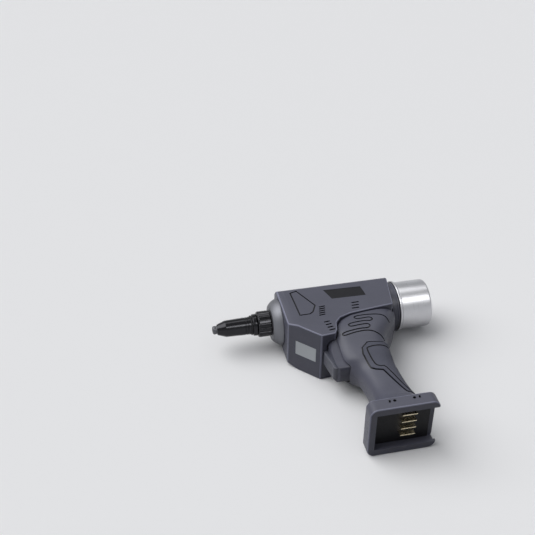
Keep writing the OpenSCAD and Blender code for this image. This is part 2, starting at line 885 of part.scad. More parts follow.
module battery_shoe() {
    color(black)
        difference() {
            union() {
                block(shoe_front, shoe_back, channel_roof - shoe_t, channel_roof, -channel_half_w + 0.4,
                    channel_half_w - 0.4);
                block(block_front, block_back, channel_roof - shoe_t / 2, block_top, -block_half_w,
                    block_half_w);
            }
            for (z = contact_places())
                block(contact_front - fit, contact_front + contact_len + fit, channel_roof - 5,
                    block_top + cut, z - contact_half_t - fit, z + contact_half_t + fit);
        }
}

function contact_places() = [for (k = [-1.5 : 1 : 1.5]) k * contact_pitch];

module battery_contacts() {
    color(gold)
        for (z = contact_places())
            block(contact_front, contact_front + contact_len, channel_roof - shoe_t - contact_drop, block_top,
                z - contact_half_t, z + contact_half_t);
}

// Nose

module nosepiece() {
    color(dark_steel)
        turned([[nose_tip, mandrel_r], [nose_tip, tip_r - 1.2], [nose_tip + 1.2, tip_r],
            [barrel_front, tip_r], [barrel_front, 3.9], [barrel_bore_x, 3.9], [barrel_bore_x, mandrel_r]]);
}

module nose_barrel() {
    cone_r = barrel_r - 0.9;
    color(dark_steel)
        turned([[barrel_front, 3.9 + fit], [barrel_front, barrel_front_r],
            [barrel_front + barrel_cone_len, cone_r], [o_ring_x - 0.9, barrel_r - 0.05],
            [o_ring_x - 0.9, barrel_r - 0.6], [o_ring_x + 0.9, barrel_r - 0.6], [o_ring_x + 0.9, barrel_r],
            [flange_front, barrel_r], [flange_front, spigot_r - 0.1], [spigot_front, spigot_r - 0.1],
            [spigot_front, case_bore_r], [barrel_bore_x, case_bore_r], [barrel_bore_x, 3.9 + fit]]);
}

module nose_o_ring() {
    color(black)
        wire_ring(o_ring_x, barrel_r + 0.2, 0.75);
}

module lock_nut() {
    rib_start = nut_front + 5.3;
    color(dark_steel)
        difference() {
            turned([[nut_front, barrel_r + 0.15], [nut_front, nut_r - 3], [nut_front + 0.8, nut_r - 2.2],
                [rib_start - 0.8, nut_r - 2.2], [rib_start, nut_r - 1], [rib_start + 1, nut_r],
                [nut_rear - 1, nut_r], [nut_rear, nut_r - 1], [nut_rear, spigot_r + 0.1],
                [flange_front - fit, spigot_r + 0.1], [flange_front - fit, barrel_r + 0.15]]);
            for (i = [0 : nut_ribs - 1])
                rotate([360 * i / nut_ribs, 0, 0])
                    translate([rib_start + 0.2, nut_r + 0.35, 0])
                        rotate([0, 90, 0])
                            cylinder(r = 1.15, h = nut_rear - rib_start + cut, $fn = 16);
        }
}

module front_ring() {
    color(silver)
        turned([[-ring_len, spigot_r + 0.1], [-ring_len, ring_front_r - 0.8], [0.8 - ring_len, ring_front_r],
            [-0.72 * ring_len, ring_front_r + 2.6], [-0.45 * ring_len, ring_rear_r - 1.5],
            [-0.2 * ring_len, ring_rear_r - 0.3], [-1, ring_rear_r], [0, ring_rear_r], [0, spigot_r + 0.1]]);
}

// Puller

module jaw_case() {
    color(dark_steel)
        turned([[case_front, cone_front_r], [case_front, case_r - 0.6], [case_front + 0.6, case_r],
            [case_rear, case_r], [case_rear, thread_r + fit], [screw_front, thread_r + fit],
            [screw_front, cone_rear_r], [case_front + cone_len, cone_rear_r]]);
}

// One of three jaws in the cone of the jaw case, at an angle round the axis
module jaw(angle) {
    slope = tan(cone_angle);
    front_r = cone_front_r + (jaw_front - case_front) * slope - jaw_gap;
    rear_r = front_r + jaw_len * slope;
    apex = polar(jaw_split / (2 * sin(60)), angle);
    far = 20;
    color(steel)
        intersection() {
            turned([[jaw_front, jaw_bore_r], [jaw_front, front_r], [jaw_rear, rear_r],
                [jaw_rear, jaw_bore_r]]);
            translate([jaw_front - cut, 0, 0])
                rotate([0, 90, 0])
                    linear_extrude(jaw_len + 2 * cut)
                        polygon([apex, apex + polar(far, angle - 60), apex + polar(far, angle),
                            apex + polar(far, angle + 60)]);
        }
}

module jaw_1() {
    jaw(90);
}

module jaw_2() {
    jaw(210);
}

module jaw_3() {
    jaw(330);
}

module jaw_pusher() {
    color(steel)
        turned([[pusher_front, jaw_bore_r], [pusher_front, cone_rear_r - 1],
            [pusher_front + 0.6, cone_rear_r - run], [spring_x, cone_rear_r - run], [spring_x, 3.3],
            [spring_x + 3, 3.3], [spring_x + 3, jaw_bore_r]]);
}

module jaw_spring() {
    color(steel)
        coil(spring_x + fit, screw_front - spring_x - 2 * fit, 4.6, 0.45, 4);
}

module ball_screw() {
    color(steel)
        turned([[screw_front, screw_bore_r], [screw_front, thread_r], [case_rear, thread_r],
            [case_rear, screw_r], [guide_collar_x, screw_r], [guide_collar_x, seat_r], [screw_rear, seat_r],
            [screw_rear, screw_bore_r]]);
}

module screw_guide() {
    x0 = guide_collar_x;
    x1 = x0 + guide_collar_len;
    color(steel)
        difference() {
            union() {
                rod(x0, x1, guide_bore_r - run);
                block(x0, x1, -lug_half_h, lug_half_h, -guide_r - 1.4, guide_r + 1.4);
            }
            rod(x0 - cut, x1 + cut, seat_r + fit);
        }
}

module guide_frame() {
    slot_rear = guide_collar_x + guide_collar_len + stroke + 4;
    flange_r = axis_gap - ring_gear_r - 0.35;
    slot_half = lug_half_h + run;
    color(silver)
        difference() {
            union() {
                rod(guide_front, guide_front + 3, flange_r);
                rod(guide_front, guide_rear, guide_r);
            }
            rod(guide_front - cut, guide_rear + cut, guide_bore_r);
            block(guide_collar_x - 2, slot_rear, -slot_half, slot_half, -20, 20);
        }
}

module mandrel_tube() {
    color(steel)
        tube(screw_rear - 10, collar_rear - 2, tube_r, tube_bore_r);
}

// Nut and its gears

// Room in the ball nut for two rows of balls
ball_r = 1.1;
ball_ring_r = screw_r + ball_r + 0.05;
ball_room_x = ball_nut_x + 4;
ball_rows = 2;
ball_row_gap = 6;

module ball_nut() {
    room_r = ball_ring_r + ball_r + 0.05;
    color(steel)
        difference() {
            rod(ball_nut_x, ball_nut_end, ball_nut_r);
            rod(ball_nut_x - cut, ball_nut_end + cut, screw_r + 0.08);
            for (i = [0 : ball_rows - 1])
                translate([ball_room_x + i * ball_row_gap, 0, 0])
                    rod(0, 2 * ball_r + 0.1, room_r);
        }
}

module nut_balls() {
    count = 20;
    color(steel)
        for (i = [0 : ball_rows - 1], k = [0 : count - 1])
            rotate([360 * k / count, 0, 0])
                translate([ball_room_x + i * ball_row_gap + ball_r + 0.05, ball_ring_r, 0])
                    sphere(r = ball_r, $fn = 24);
}

module nut_gear() {
    color(steel)
        difference() {
            gear(gear_x, gear_x + gear_w, nut_teeth, gear_module, -90, backlash);
            rod(gear_x - cut, gear_x + gear_w + cut, ball_nut_r + fit / 2);
        }
}

module thrust_bearing() {
    inner = case_bore_r + 0.4;
    washer = 1.6;
    color(steel) {
        tube(bearing_x + fit, bearing_x + washer, bush_r - fit, inner);
        tube(bearing_x + bearing_len - washer, bearing_x + bearing_len - 0.1, bush_r - fit, inner);
        for (k = [0 : 11])
            rotate([30 * k, 0, 0])
                translate([bearing_x + bearing_len / 2 - 0.02, (inner + bush_r) / 2, 0])
                    sphere(r = bearing_len / 2 - washer - 0.03, $fn = 24);
    }
}

module nut_bushes() {
    color(copper) {
        tube(front_bush_x, front_bush_x + bush_len, bush_r, ball_nut_r + 0.06);
        tube(cover_x, cover_x + cover_t, bush_r, ball_nut_r + 0.06);
    }
}

module gear_housing() {
    lobe_x = gear_room_x - 2;
    color(silver)
        difference() {
            union() {
                rod(spigot_front, wall + run, spigot_r);
                turned([[wall + run, 0], [wall + run, 19], [wall + run + 6.5, skirt_r], [cover_x, skirt_r],
                    [cover_x, 0]]);
                on_motor_axis() {
                    rod(pinion_bearing_x - 1.5, cover_x, pinion_bearing_r + 2.5);
                    rod(lobe_x, cover_x, lobe_r);
                }
            }
            rod(spigot_front - cut, cover_x, case_bore_r);
            rod(bearing_x, cover_x, bush_r + fit);
            rod(gear_room_x, cover_x + cut, gear_room_r);
            on_motor_axis() {
                rod(pinion_bearing_x, cover_x, pinion_bearing_r + fit);
                rod(gear_room_x, cover_x + cut, pinion_room_r);
            }
        }
}

module gear_cover() {
    color(silver)
        difference() {
            union() {
                rod(cover_x, cover_x + cover_t, skirt_r);
                on_motor_axis()
                    rod(cover_x, cover_x + cover_t, ring_gear_r);
            }
            rod(cover_x - cut, cover_x + cover_t + cut, bush_r + fit);
            on_motor_axis()
                rod(cover_x - cut, cover_x + cover_t + cut, pinion_bearing_r + fit);
            cover_screw_places()
                rod(cover_x - cut, cover_x + cover_t + cut, 1.1);
        }
}

module cover_screw_places() {
    for (a = [-60, -20, 20, 60])
        rotate([a, 0, 0])
            translate([0, gear_room_r + 1.5, 0])
                children();
}

module gear_cover_screws() {
    color(steel)
        cover_screw_places() {
            rod(cover_x + 0.2, cover_x + cover_t, 1);
            rod(cover_x + cover_t, cover_x + cover_t + 1.8, 1.9);
        }
}

module output_pinion() {
    color(steel)
        on_motor_axis()
            difference() {
                gear(gear_x - 0.3, gear_x + gear_w + 0.3, pinion_teeth, gear_module, 90 + 180 / pinion_teeth,
                    backlash);
                rod(gear_x - cut, gear_x + gear_w + cut, pinion_shaft_r + fit / 2);
            }
}

// Planetary gearbox

module planet_places(angles) {
    for (a = angles)
        translate([0, planet_gap * sin(a), -planet_gap * cos(a)])
            children();
}

module planet_carrier() {
    color(steel)
        on_motor_axis()
            difference() {
                union() {
                    rod(pinion_bearing_x + 0.3, carrier_x + carrier_t, pinion_shaft_r);
                    rod(carrier_x, carrier_x + carrier_t, carrier_r);
                }
                planet_places(planet_angles)
                    rod(carrier_x - cut, carrier_x + carrier_t + cut, pin_r + fit / 2);
            }
}

module planet_pins() {
    color(steel)
        on_motor_axis()
            planet_places(planet_angles)
                rod(carrier_x, planet_x + planet_w + 0.5, pin_r);
}

module planet_gear(angle) {
    phase = angle + 180 / planet_teeth;
    color(steel)
        on_motor_axis()
            planet_places([angle])
                difference() {
                    gear(planet_x, planet_x + planet_w, planet_teeth, planet_module, phase, planet_backlash);
                    rod(planet_x - cut, planet_x + planet_w + cut, pin_r + 0.06);
                }
}

module planet_gear_1() {
    planet_gear(planet_angles[0]);
}

module planet_gear_2() {
    planet_gear(planet_angles[1]);
}

module planet_gear_3() {
    planet_gear(planet_angles[2]);
}

module ring_gear() {
    phase = 90 + 180 / ring_teeth;
    space = gear_outline(ring_teeth, planet_module, phase, dedendum, addendum, -planet_backlash);
    color(steel)
        on_motor_axis()
            difference() {
                rod(ring_gear_x, motor_plate_x, ring_gear_r);
                translate([ring_gear_x - cut, 0, 0])
                    rotate([0, 90, 0])
                        linear_extrude(ring_gear_len + 2 * cut)
                            polygon(space);
            }
}

module sun_pinion() {
    color(steel)
        on_motor_axis()
            difference() {
                gear(planet_x - 0.3, planet_x + planet_w + 0.6, sun_teeth, planet_module, 90,
                    planet_backlash);
                rod(planet_x - cut, planet_x + planet_w + 2 * cut, 1.6 + fit / 2);
            }
}

module pinion_bearings() {
    color(steel)
        on_motor_axis() {
            tube(pinion_bearing_x + fit, pinion_bearing_x + pinion_bearing_len, pinion_bearing_r,
                pinion_shaft_r + 0.06);
            tube(cover_x, cover_x + cover_t, pinion_bearing_r, pinion_shaft_r + 0.06);
        }
}

// Motor

module motor_plate() {
    color(silver)
        on_motor_axis()
            difference() {
                rod(motor_plate_x, motor_x, motor_r);
                rod(motor_plate_x - cut, motor_x + cut, shaft_r + 1);
                rod(motor_x - motor_bearing_len, motor_x + cut, motor_bearing_r + fit);
            }
}

module motor_can() {
    color(steel)
        on_motor_axis()
            difference() {
                rod(motor_x, end_cap_x, motor_r);
                rod(motor_x - cut, end_cap_x + cut, motor_r - can_wall);
                for (k = [0 : 5])
                    rotate([60 * k + 30, 0, 0])
                        block(fan_x, fan_x + fan_w, 0, motor_r + cut, -4, 4);
            }
}

module stator() {
    color(copper)
        on_motor_axis()
            difference() {
                tube(core_x, core_x + core_len, motor_r - can_wall - fit, stator_bore_r);
                for (k = [0 : 5])
                    rotate([60 * k, 0, 0])
                        block(core_x - cut, core_x + core_len + cut, stator_bore_r - cut,
                            motor_r - can_wall - 2, -1, 1);
            }
}

module rotor() {
    color(dark_steel)
        on_motor_axis()
            turned([[planet_x - 0.3, 0], [planet_x - 0.3, 1.6], [planet_x + planet_w + 0.6, 1.6],
                [planet_x + planet_w + 0.6, shaft_r], [core_x + 0.5, shaft_r], [core_x + 0.5, rotor_r],
                [core_x + core_len - 0.5, rotor_r], [core_x + core_len - 0.5, shaft_r],
                [end_cap_x + end_cap_t - 1, shaft_r], [end_cap_x + end_cap_t - 1, 0]]);
}

module cooling_fan() {
    blades = 9;
    color(black)
        on_motor_axis()
            difference() {
                union() {
                    rod(fan_x, fan_x + 1.2, fan_r);
                    rod(fan_x, fan_x + fan_w, shaft_r + 2.5);
                    for (k = [0 : blades - 1])
                        rotate([360 * k / blades, 0, 0])
                            block(fan_x, fan_x + fan_w, shaft_r + 2, fan_r - 0.5, -0.6, 0.6);
                }
                rod(fan_x - cut, fan_x + fan_w + cut, shaft_r + fit / 2);
            }
}

module motor_end_cap() {
    color(black)
        on_motor_axis()
            difference() {
                rod(end_cap_x, end_cap_x + end_cap_t, motor_r);
                rod(end_cap_x - cut, end_cap_x + motor_bearing_len, motor_bearing_r + fit);
                rod(end_cap_x - cut, end_cap_x + end_cap_t + cut, shaft_r + 1);
            }
}

module motor_bearings() {
    color(steel)
        on_motor_axis() {
            tube(motor_x - motor_bearing_len + fit, motor_x, motor_bearing_r, shaft_r + 0.06);
            tube(end_cap_x, end_cap_x + motor_bearing_len - fit, motor_bearing_r, shaft_r + 0.06);
        }
}

// Trigger, switch and electronics

module trigger() {
    color(black)
        difference() {
            union() {
                slab(trigger_outline, -trigger_half_w, trigger_half_w);
                block(trigger_rear - trigger_flange_t, trigger_rear, trigger_flange_y, trigger_top - 2,
                    -trigger_half_w - 1.4, trigger_half_w + 1.4);
            }
            translate([trigger_rear - 6, plunger_y, 0])
                rod(0, 10, plunger_r + fit);
        }
}

module switch_plunger() {
    color(black)
        translate([0, plunger_y, 0])
            rod(trigger_rear - 6, switch_front + 4, plunger_r);
}

module trigger_spring() {
    color(steel)
        translate([0, plunger_y, 0])
            coil(trigger_rear + fit, switch_front - trigger_rear - 2 * fit, plunger_r + 1.1, 0.4, 6);
}

module trigger_switch() {
    color(black)
        difference() {
            block(switch_front, switch_front + switch_len, switch_bottom, switch_top, -switch_half_w,
                switch_half_w);
            translate([0, plunger_y, 0])
                rod(switch_front - cut, switch_front + 5 + trigger_travel, plunger_r + run);
        }
}

module controller_board() {
    color(green) {
        block(board_x, board_x + board_len, board_bottom, board_top, -board_half_t, board_half_t);
        for (k = [0 : 2])
            block(board_x + 8, board_x + 14, board_bottom + chip + chip_pitch * k,
                board_bottom + 2 * chip + chip_pitch * k, board_half_t, board_half_t + 3);
    }
}

module lead(x, z, y0, y1) {
    translate([x, y0, z])
        rotate([-90, 0, 0])
            cylinder(r = lead_r, h = y1 - y0, $fn = 24);
}

module lead_wires() {
    color(black) {
        for (z = [-2.4, 2.4, 5])
            lead(switch_front + switch_len + 2.2, z, board_top - 0.7 * chip, -axis_gap - motor_r - 0.3);
        for (z = [-2.6, 2.6])
            lead(board_x + 6, z, board_top - 0.8 * chip, switch_bottom - 0.2);
        for (z = [-2.6, 2.6])
            lead(board_x + 12, z, block_top + 0.2, board_bottom + 0.8 * chip);
    }
}

module placed() {
    translate([-mid_x, -mid_y, half_w])
        children();
}

placed() left_housing();
placed() right_housing();
placed() housing_screws();
placed() back_grip();
placed() left_name_plate();
placed() right_name_plate();
placed() front_ring();
placed() light_lens();
placed() light_board();
placed() rear_collar();
placed() collector_seal();
placed() mandrel_collector();
placed() battery_shoe();
placed() battery_contacts();
placed() nosepiece();
placed() nose_barrel();
placed() lock_nut();
placed() nose_o_ring();
placed() jaw_case();
placed() jaw_1();
placed() jaw_2();
placed() jaw_3();
placed() jaw_pusher();
placed() jaw_spring();
placed() ball_screw();
placed() screw_guide();
placed() guide_frame();
placed() mandrel_tube();
placed() ball_nut();
placed() nut_balls();
placed() nut_gear();
placed() thrust_bearing();
placed() nut_bushes();
placed() gear_housing();
placed() gear_cover();
placed() gear_cover_screws();
placed() planet_carrier();
placed() output_pinion();
placed() planet_pins();
placed() planet_gear_1();
placed() planet_gear_2();
placed() planet_gear_3();
placed() ring_gear();
placed() sun_pinion();
placed() pinion_bearings();
placed() motor_plate();
placed() motor_can();
placed() stator();
placed() rotor();
placed() cooling_fan();
placed() motor_end_cap();
placed() motor_bearings();
placed() trigger();
placed() switch_plunger();
placed() trigger_spring();
placed() trigger_switch();
placed() controller_board();
placed() lead_wires();
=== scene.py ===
"""Looks of a battery rivet tool: housing, grip, nose, trigger, collector and battery foot."""

import json
import math

import bpy
from bpy.props import FloatProperty, FloatVectorProperty, IntProperty, PointerProperty
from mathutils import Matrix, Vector


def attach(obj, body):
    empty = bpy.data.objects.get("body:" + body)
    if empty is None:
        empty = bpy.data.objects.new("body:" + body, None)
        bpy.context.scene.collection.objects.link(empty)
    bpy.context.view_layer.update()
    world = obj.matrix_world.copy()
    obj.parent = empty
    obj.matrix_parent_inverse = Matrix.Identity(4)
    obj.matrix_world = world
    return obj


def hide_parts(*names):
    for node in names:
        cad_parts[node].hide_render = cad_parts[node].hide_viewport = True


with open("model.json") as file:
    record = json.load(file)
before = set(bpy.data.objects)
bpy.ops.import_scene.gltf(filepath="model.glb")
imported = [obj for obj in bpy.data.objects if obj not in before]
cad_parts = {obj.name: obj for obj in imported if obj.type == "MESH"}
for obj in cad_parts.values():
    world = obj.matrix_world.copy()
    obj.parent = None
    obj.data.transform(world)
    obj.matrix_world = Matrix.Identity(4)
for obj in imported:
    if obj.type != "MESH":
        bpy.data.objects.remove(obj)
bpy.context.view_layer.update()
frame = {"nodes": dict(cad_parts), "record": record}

bl_info = {
    "name": "Battery Rivet Tool",
    "version": (1, 0, 0),
    "blender": (4, 5, 0),
    "location": "3D View > Sidebar > Rivet Tool",
    "description": "Builds the visible pieces of a battery rivet tool around its CAD frame",
    "category": "Add Mesh",
}

# Places are written in millimetres: x back from the front face of the body, y up from the drive axis,
# z to the left of the middle plane. ORIGIN is that point's place in the frame, in millimetres.
MM = 0.001
ORIGIN = Vector((-48.0, 78.0, 31.0))
FAR = 250.0
# Further to the left than any piece
OUTSIDE = 40.0
# How far tools that cut stand out past what they cut
OVERCUT = 5.0
# Corners closer than this are merged
MERGE = 0.01

# Body
HALF_WIDTH = 31.0
ROOF_RADIUS = 34.0
FRONT_HALF_WIDTH = 27.5
FRONT_TAPER_LENGTH = 9.0
BODY_OUTLINE = [
    (0, 28.7), (74, 35), (133.3, 35), (121.1, -33), (95, -36), (70, -39.5), (57, -44.5), (51, -52),
    (48.5, -63.5), (45, -69.5), (29.5, -71), (0, -40),
]
SLOPE_TOP = BODY_OUTLINE[-1]
SLOPE_BOTTOM = BODY_OUTLINE[-2]
SLOPE_ANGLE = math.atan2(SLOPE_BOTTOM[1] - SLOPE_TOP[1], SLOPE_BOTTOM[0] - SLOPE_TOP[0])
ROOM_LOW = -75.0
ROOM_END = 104.0
# Start, end and radius of the holes for the nose and the collar
NOSE_HOLE = (-5.0, 6.0, 11.4)
COLLAR_HOLE = (103.4, 160.0, 28.3)
# How far the forms reach past the middle plane, until the half is cut off at the seam
BODY_PAST = 2.0
ROOM_PAST = 1.0
FOOT_PAST = 3.0
GUARD_PAST = 2.5

# Rounded edges
# Edges sharper than SHARP_ANGLE, in degrees, are rounded. On the body, shorter ones than SHORT_EDGE are
# merged first, edges further past the middle plane than EDGE_PAST stay sharp, and rounded faces smaller
# than NARROW_FACE, in square millimetres, get a painted highlight that partly stands for wear.
SHARP_ANGLE = 40.0
SHORT_EDGE = 0.9
EDGE_PAST = 1.0
NARROW_FACE = 60.0
GUARD_ROUND = 1.2
TRIGGER_ROUND = 1.8

# Handle
# Height, front, back, half width and squareness of its sections
HANDLE_STATIONS = [
    (-18, 64, 131, 26, 2.7), (-22, 62, 130, 27, 2.7), (-34, 54, 126, 29, 3.2), (-44, 47, 121.5, 29.5, 3.8),
    (-54, 42.5, 115, 29.5, 4), (-64, 41, 107, 29, 4), (-74, 42, 101.5, 26.5, 3.4), (-88, 44, 100.5, 23, 3.3),
    (-98, 46, 100.5, 22, 3), (-104, 52, 100.5, 20.5, 2.4), (-110, 57.5, 100.5, 19.5, 2.3),
    (-118, 60, 100.5, 19, 2.5), (-140, 62, 101.5, 19, 2.6), (-154, 60.5, 103.5, 20, 2.7),
    (-164, 57, 105.5, 23, 2.7), (-172, 51, 110, 28, 2.7), (-176, 48, 113, 30, 2.7),
    (-179, 47, 114, 30.5, 2.7),
]
HANDLE_CORNERS = 32
# The grip and the room in the handle use the sections below this height. The room ends in two of its own.
LOWER_HANDLE = -30.0
HANDLE_ROOM_BOTTOM = -170.0
HANDLE_ROOM_END = [(-172, 51, 110, 28, 2.7), (-175.4, 48, 113, 29.7, 2.7)]
GRIP_OUTLINE = [
    (86, -84.5), (76, -84), (69, -90), (67.5, -98), (70.5, -116), (74, -119.5), (81.5, -122.5),
    (94, -159.5), (127, -161), (127, -80.5),
]
GRIP_GAP = 0.05
# Share of the grip's thickness that is left under its line
GRIP_LINE_FLOOR = 0.3

# Foot and battery channel
FOOT_FRONT = 45.0
FOOT_BACK = 116.0
FOOT_TOP = -175.0
FOOT_BOTTOM = -190.0
FOOT_CORNER = 8.0
CHANNEL_FRONT = 52.0
CHANNEL_ROOF = -178.0
CHANNEL_HALF_WIDTH = 26.0
RAIL_TOP = -187.0
RAIL_WIDTH = 3.0
SHOE_HOLE = ((73.9, -180, -OVERCUT), (98.1, -167.3, 17.6))
HOOK_HOLES = [(72, -180), (92, -180)]
HOOK_HOLE_RADIUS = 1.6
HOOK_SLITS = [(66.9, -180.2), (97.4, -179.8)]
# Length, height and lean of each slit
HOOK_SLIT_SHAPE = (3.6, 2.0, 75)

# Openings and plates in the sides
# First slot, last slot, count, length and lean of each row of vents
VENT_ROWS = [
    ((42.6, -22), (39.2, -36.2), 5, 7.5, 7),
    ((40.8, -48.8), (43, -63), 4, 7, 8),
    ((80.7, -22.1), (78.2, -31.8), 3, 8.7, 2),
]
VENT_HEIGHT = 1.8
SCREW_PLACES = [(44, 17.5), (88, 17.5), (40, -62), (96, -62), (67, -106), (70, -163), (94, -163)]
SCREW_HOLE_RADIUS = 3.5
SCREW_HOLE_END = -12.0
PLATE_OUTLINE = [(95, 5.5), (96.7, -11.5), (57.3, -10.5), (51.7, 7)]
PLATE_BED = 1.2
PLATE_SUNK = 0.2
LENS_START = 10.3
LENS_LENGTH = 25.9
LENS_HALF_WIDTH = 9.0
LENS_GAP = 0.05

# Trigger
TRIGGER_OUTLINE = [
    (52, -66.8), (38, -66.8), (33.2, -68.4), (32.2, -71), (33.6, -82), (35.4, -93), (35.4, -98),
    (37.5, -100), (52, -100),
]
TRIGGER_HALF_WIDTH = 8.5
TRIGGER_FLANGE = ((50, -91, -9.9), (52, -68.8, 9.9))
TRIGGER_HOLE = ((31.9, -100.3, -OVERCUT), (54, -66.5, TRIGGER_HALF_WIDTH + 0.3))
# Start, end and radius of the hole for the plunger, and its height
PLUNGER_BORE = (46, 56, 2.65)
PLUNGER_HEIGHT = -82.0
# The guard round the trigger, from the side, from above (x and z) and from the front (y and z)
GUARD_SIDE = [
    (54, -63.8), (37.6, -63.8), (36.8, -66.8), (38.6, -96), (39.4, -100.5), (42, -102.6), (54, -102.6),
]
GUARD_PLAN = [(36, 9.6), (36.5, 12.5), (37.8, 16), (40, 19), (43.5, 20.9), (48, 21.5), (54, 21.5)]
GUARD_FACE = [
    (-63.8, 21.5), (-72, 19.6), (-82, 16.4), (-92, 13), (-97, 11.6), (-100, 10.6), (-101.8, 9.2), (-102.6, 6),
]
# Room that holds all of the guard: lowest and highest corner of a box
GUARD_ROOM = ((20, -120, 0), (80, -40, 24))

# Lines moulded into the sides
SIDE_PANEL = [(13.9, 9.1), (21.4, 11.4), (35.7, -18.4), (30.6, -29.2), (26.5, -32), (15.2, -32.2)]
BULGE_LINE = [
    (110, -55), (107.5, -50), (104.8, -47.4), (98.2, -45.2), (85.4, -43.8), (75, -44.2), (72.3, -46.4),
    (75, -48.9), (82, -48.9), (88.5, -48.9), (91, -52), (88, -54.6), (80.6, -53.6), (66.5, -54.7),
    (62.9, -57.2), (65.5, -59.6), (74.5, -59), (82.8, -59), (85.2, -62), (82.1, -64.8), (72.7, -64.6),
    (56.5, -66.4), (53, -68.2), (56, -70.2), (66.3, -68.8), (77.9, -68), (85.2, -69.4), (89.8, -71.8),
    (94.3, -75), (97, -80),
]
GRIP_LINE = [
    (104, -89), (85.1, -89), (76, -90.2), (72.6, -93.6), (75.1, -112.4), (79.9, -117.4), (85.5, -120.7),
    (97.5, -156.5), (104, -157),
]
# Widths of the lines round the body and the guard as shares of the line width, and their share of its depth
BODY_LINE_SHARE = 0.8
GUARD_LINE_SHARE = 0.9
DEEP_LINE = 1.3
# How close the lines come to the middle plane
BODY_LINE_END = 10.0
GRIP_EDGE_END = 4.0
SIDE_LINE_END = 6.0

# Turned pieces
# Places along the drive axis and radii
FRONT_RING_PROFILE = [
    (-11, 11.1), (-11, 19.4), (-10.85, 20.0), (-10.3, 20.7), (-9, 22.2), (-7.5, 23.5), (-6, 24.5),
    (-4.5, 25.3), (-3, 25.9), (-1.6, 26.3), (-0.9, 26.5), (-0.3, 26.4), (0, 26), (0, 11.1),
]
LOCK_NUT_PROFILE = [
    (-31.8, 10.4), (-31.8, 11.3), (-31.4, 11.9), (-30.9, 12.2), (-27.6, 12.4), (-27.2, 12.2), (-26.9, 11.7),
    (-26.6, 12.4), (-26.2, 13.4), (-25.4, 14.2), (-24.6, 14.6), (-12.6, 14.6), (-11.8, 14.2), (-11.2, 13.3),
    (-11.2, 11.1), (-29.7, 11.1), (-29.7, 10.4),
]
# Start, end and radius of the grooves between the nut's ribs, and the radius of the circle that they lie on
RIB_GROOVE = (-25.9, -7.9, 1.1)
RIB_CIRCLE = 14.95
BARREL_PROFILE = [
    (-72, 3.95), (-72, 5.6), (-71.7, 6.0), (-62.8, 9.15), (-62.2, 9.35), (-40.6, 9.95), (-40.2, 9.6),
    (-39.6, 9.6), (-39.2, 9.98), (-37.6, 10.05), (-37.2, 9.7), (-36.6, 9.7), (-36.2, 10.1), (-34.1, 10.15),
    (-34.1, 9.6), (-32.3, 9.6), (-32.3, 10.2), (-29.7, 10.2), (-29.7, 10.9), (-26.2, 10.9), (-26.2, 7.8),
    (-62, 7.8), (-62, 3.95),
]
NOSEPIECE_PROFILE = [
    (-77, 1.7), (-77, 3.2), (-76.7, 3.8), (-76.0, 4.5), (-75.4, 4.7), (-73.4, 4.7), (-73.0, 4.4),
    (-72.6, 4.4), (-72.2, 4.7), (-72, 4.7), (-72, 3.9), (-62, 3.9), (-62, 1.7),
]
SEAL_PLACE = (-33.2, 10.4)
SEAL_WIRE_RADIUS = 0.75
COLLECTOR_PROFILE = [
    (134.3, 25.9), (134.3, 28.6), (134.6, 29.1), (135.1, 29.4), (136.1, 29.4), (136.6, 29.1), (136.9, 28.5),
    (137.0, 27.2), (137.2, 27.0), (137.9, 27.0), (138.1, 27.35), (138.4, 27.5), (170.4, 27.5), (171.6, 27.3),
    (172.4, 26.7), (172.85, 25.8), (173, 24.8), (173, 21.4), (172.7, 20.8), (172.4, 20.5), (172.4, 0),
    (171.4, 0), (171.4, 24.9), (170.4, 25.9),
]
COLLAR_PROFILE = [
    (112, 2.95), (112, 9.25), (118.3, 9.25), (118.3, 24.5), (107, 24.5), (107, 28.1), (111.8, 28.1),
    (111.8, 26.2), (115.2, 26.2), (115.2, 28.1), (130.4, 28.1), (130.8, 27.6), (131.6, 27.6), (132, 28.1),
    (133.6, 28.1), (134, 27.7), (134, 25.5), (137.9, 25.5), (137.9, 24.35), (139.7, 24.35), (139.7, 25.5),
    (142, 25.5), (143, 24.5), (143, 22), (122, 22), (122, 2.95),
]

# Stage, in metres
FLOOR_SIZE = 30
OVERHEAD_PLACE = (-0.6, 0.25, 0.85)
OVERHEAD_SPREAD = math.radians(60)
FRONT_PANEL_PLACE = (0.33, -0.72, 1.23)
REAR_PANEL_PLACE = (0.33, 0.66, 1.28)
PANEL_LENGTH = 0.9
PANEL_WIDTH = 0.45
PANEL_TARGET = (0, 0, 0.03)
SKY_COLOUR = (0.95, 0.97, 1, 1)
# Heights between which the sky changes, and how strong it is there: as light, and as it is seen
LIGHT_HEIGHTS = (0.15, 0.7)
LIGHT_LOW_STRENGTH = 0.03
SEEN_HEIGHTS = (0.1, 0.5)
SEEN_STRENGTHS = (0.8, 0.4)
CAMERA_PLACE = (-0.2214, -0.6594, 0.632)
CAMERA_WAY = (0.1735, 0.8026, -0.5707)
SENSOR_WIDTH = 36
PICTURE_PIXELS = 535
FOCAL_PIXELS = 850

# Sockets of a mix node that mixes colours, and of one that mixes numbers
COLOUR_A, COLOUR_B, COLOUR_RESULT = 6, 7, 2
NUMBER_A, NUMBER_B, NUMBER_RESULT = 2, 3, 0


# Shared steps


def place(x, y, z):
    """A place on the tool, in millimetres, as a place in the frame."""
    return (Vector((x, y, z)) + ORIGIN) * MM


def deselect():
    if bpy.context.object and bpy.context.object.mode != "OBJECT":
        bpy.ops.object.mode_set(mode="OBJECT")
    bpy.ops.object.select_all(action="DESELECT")


def pick(piece):
    """Makes one piece the only selected and active one."""
    deselect()
    piece.select_set(True)
    bpy.context.view_layer.objects.active = piece


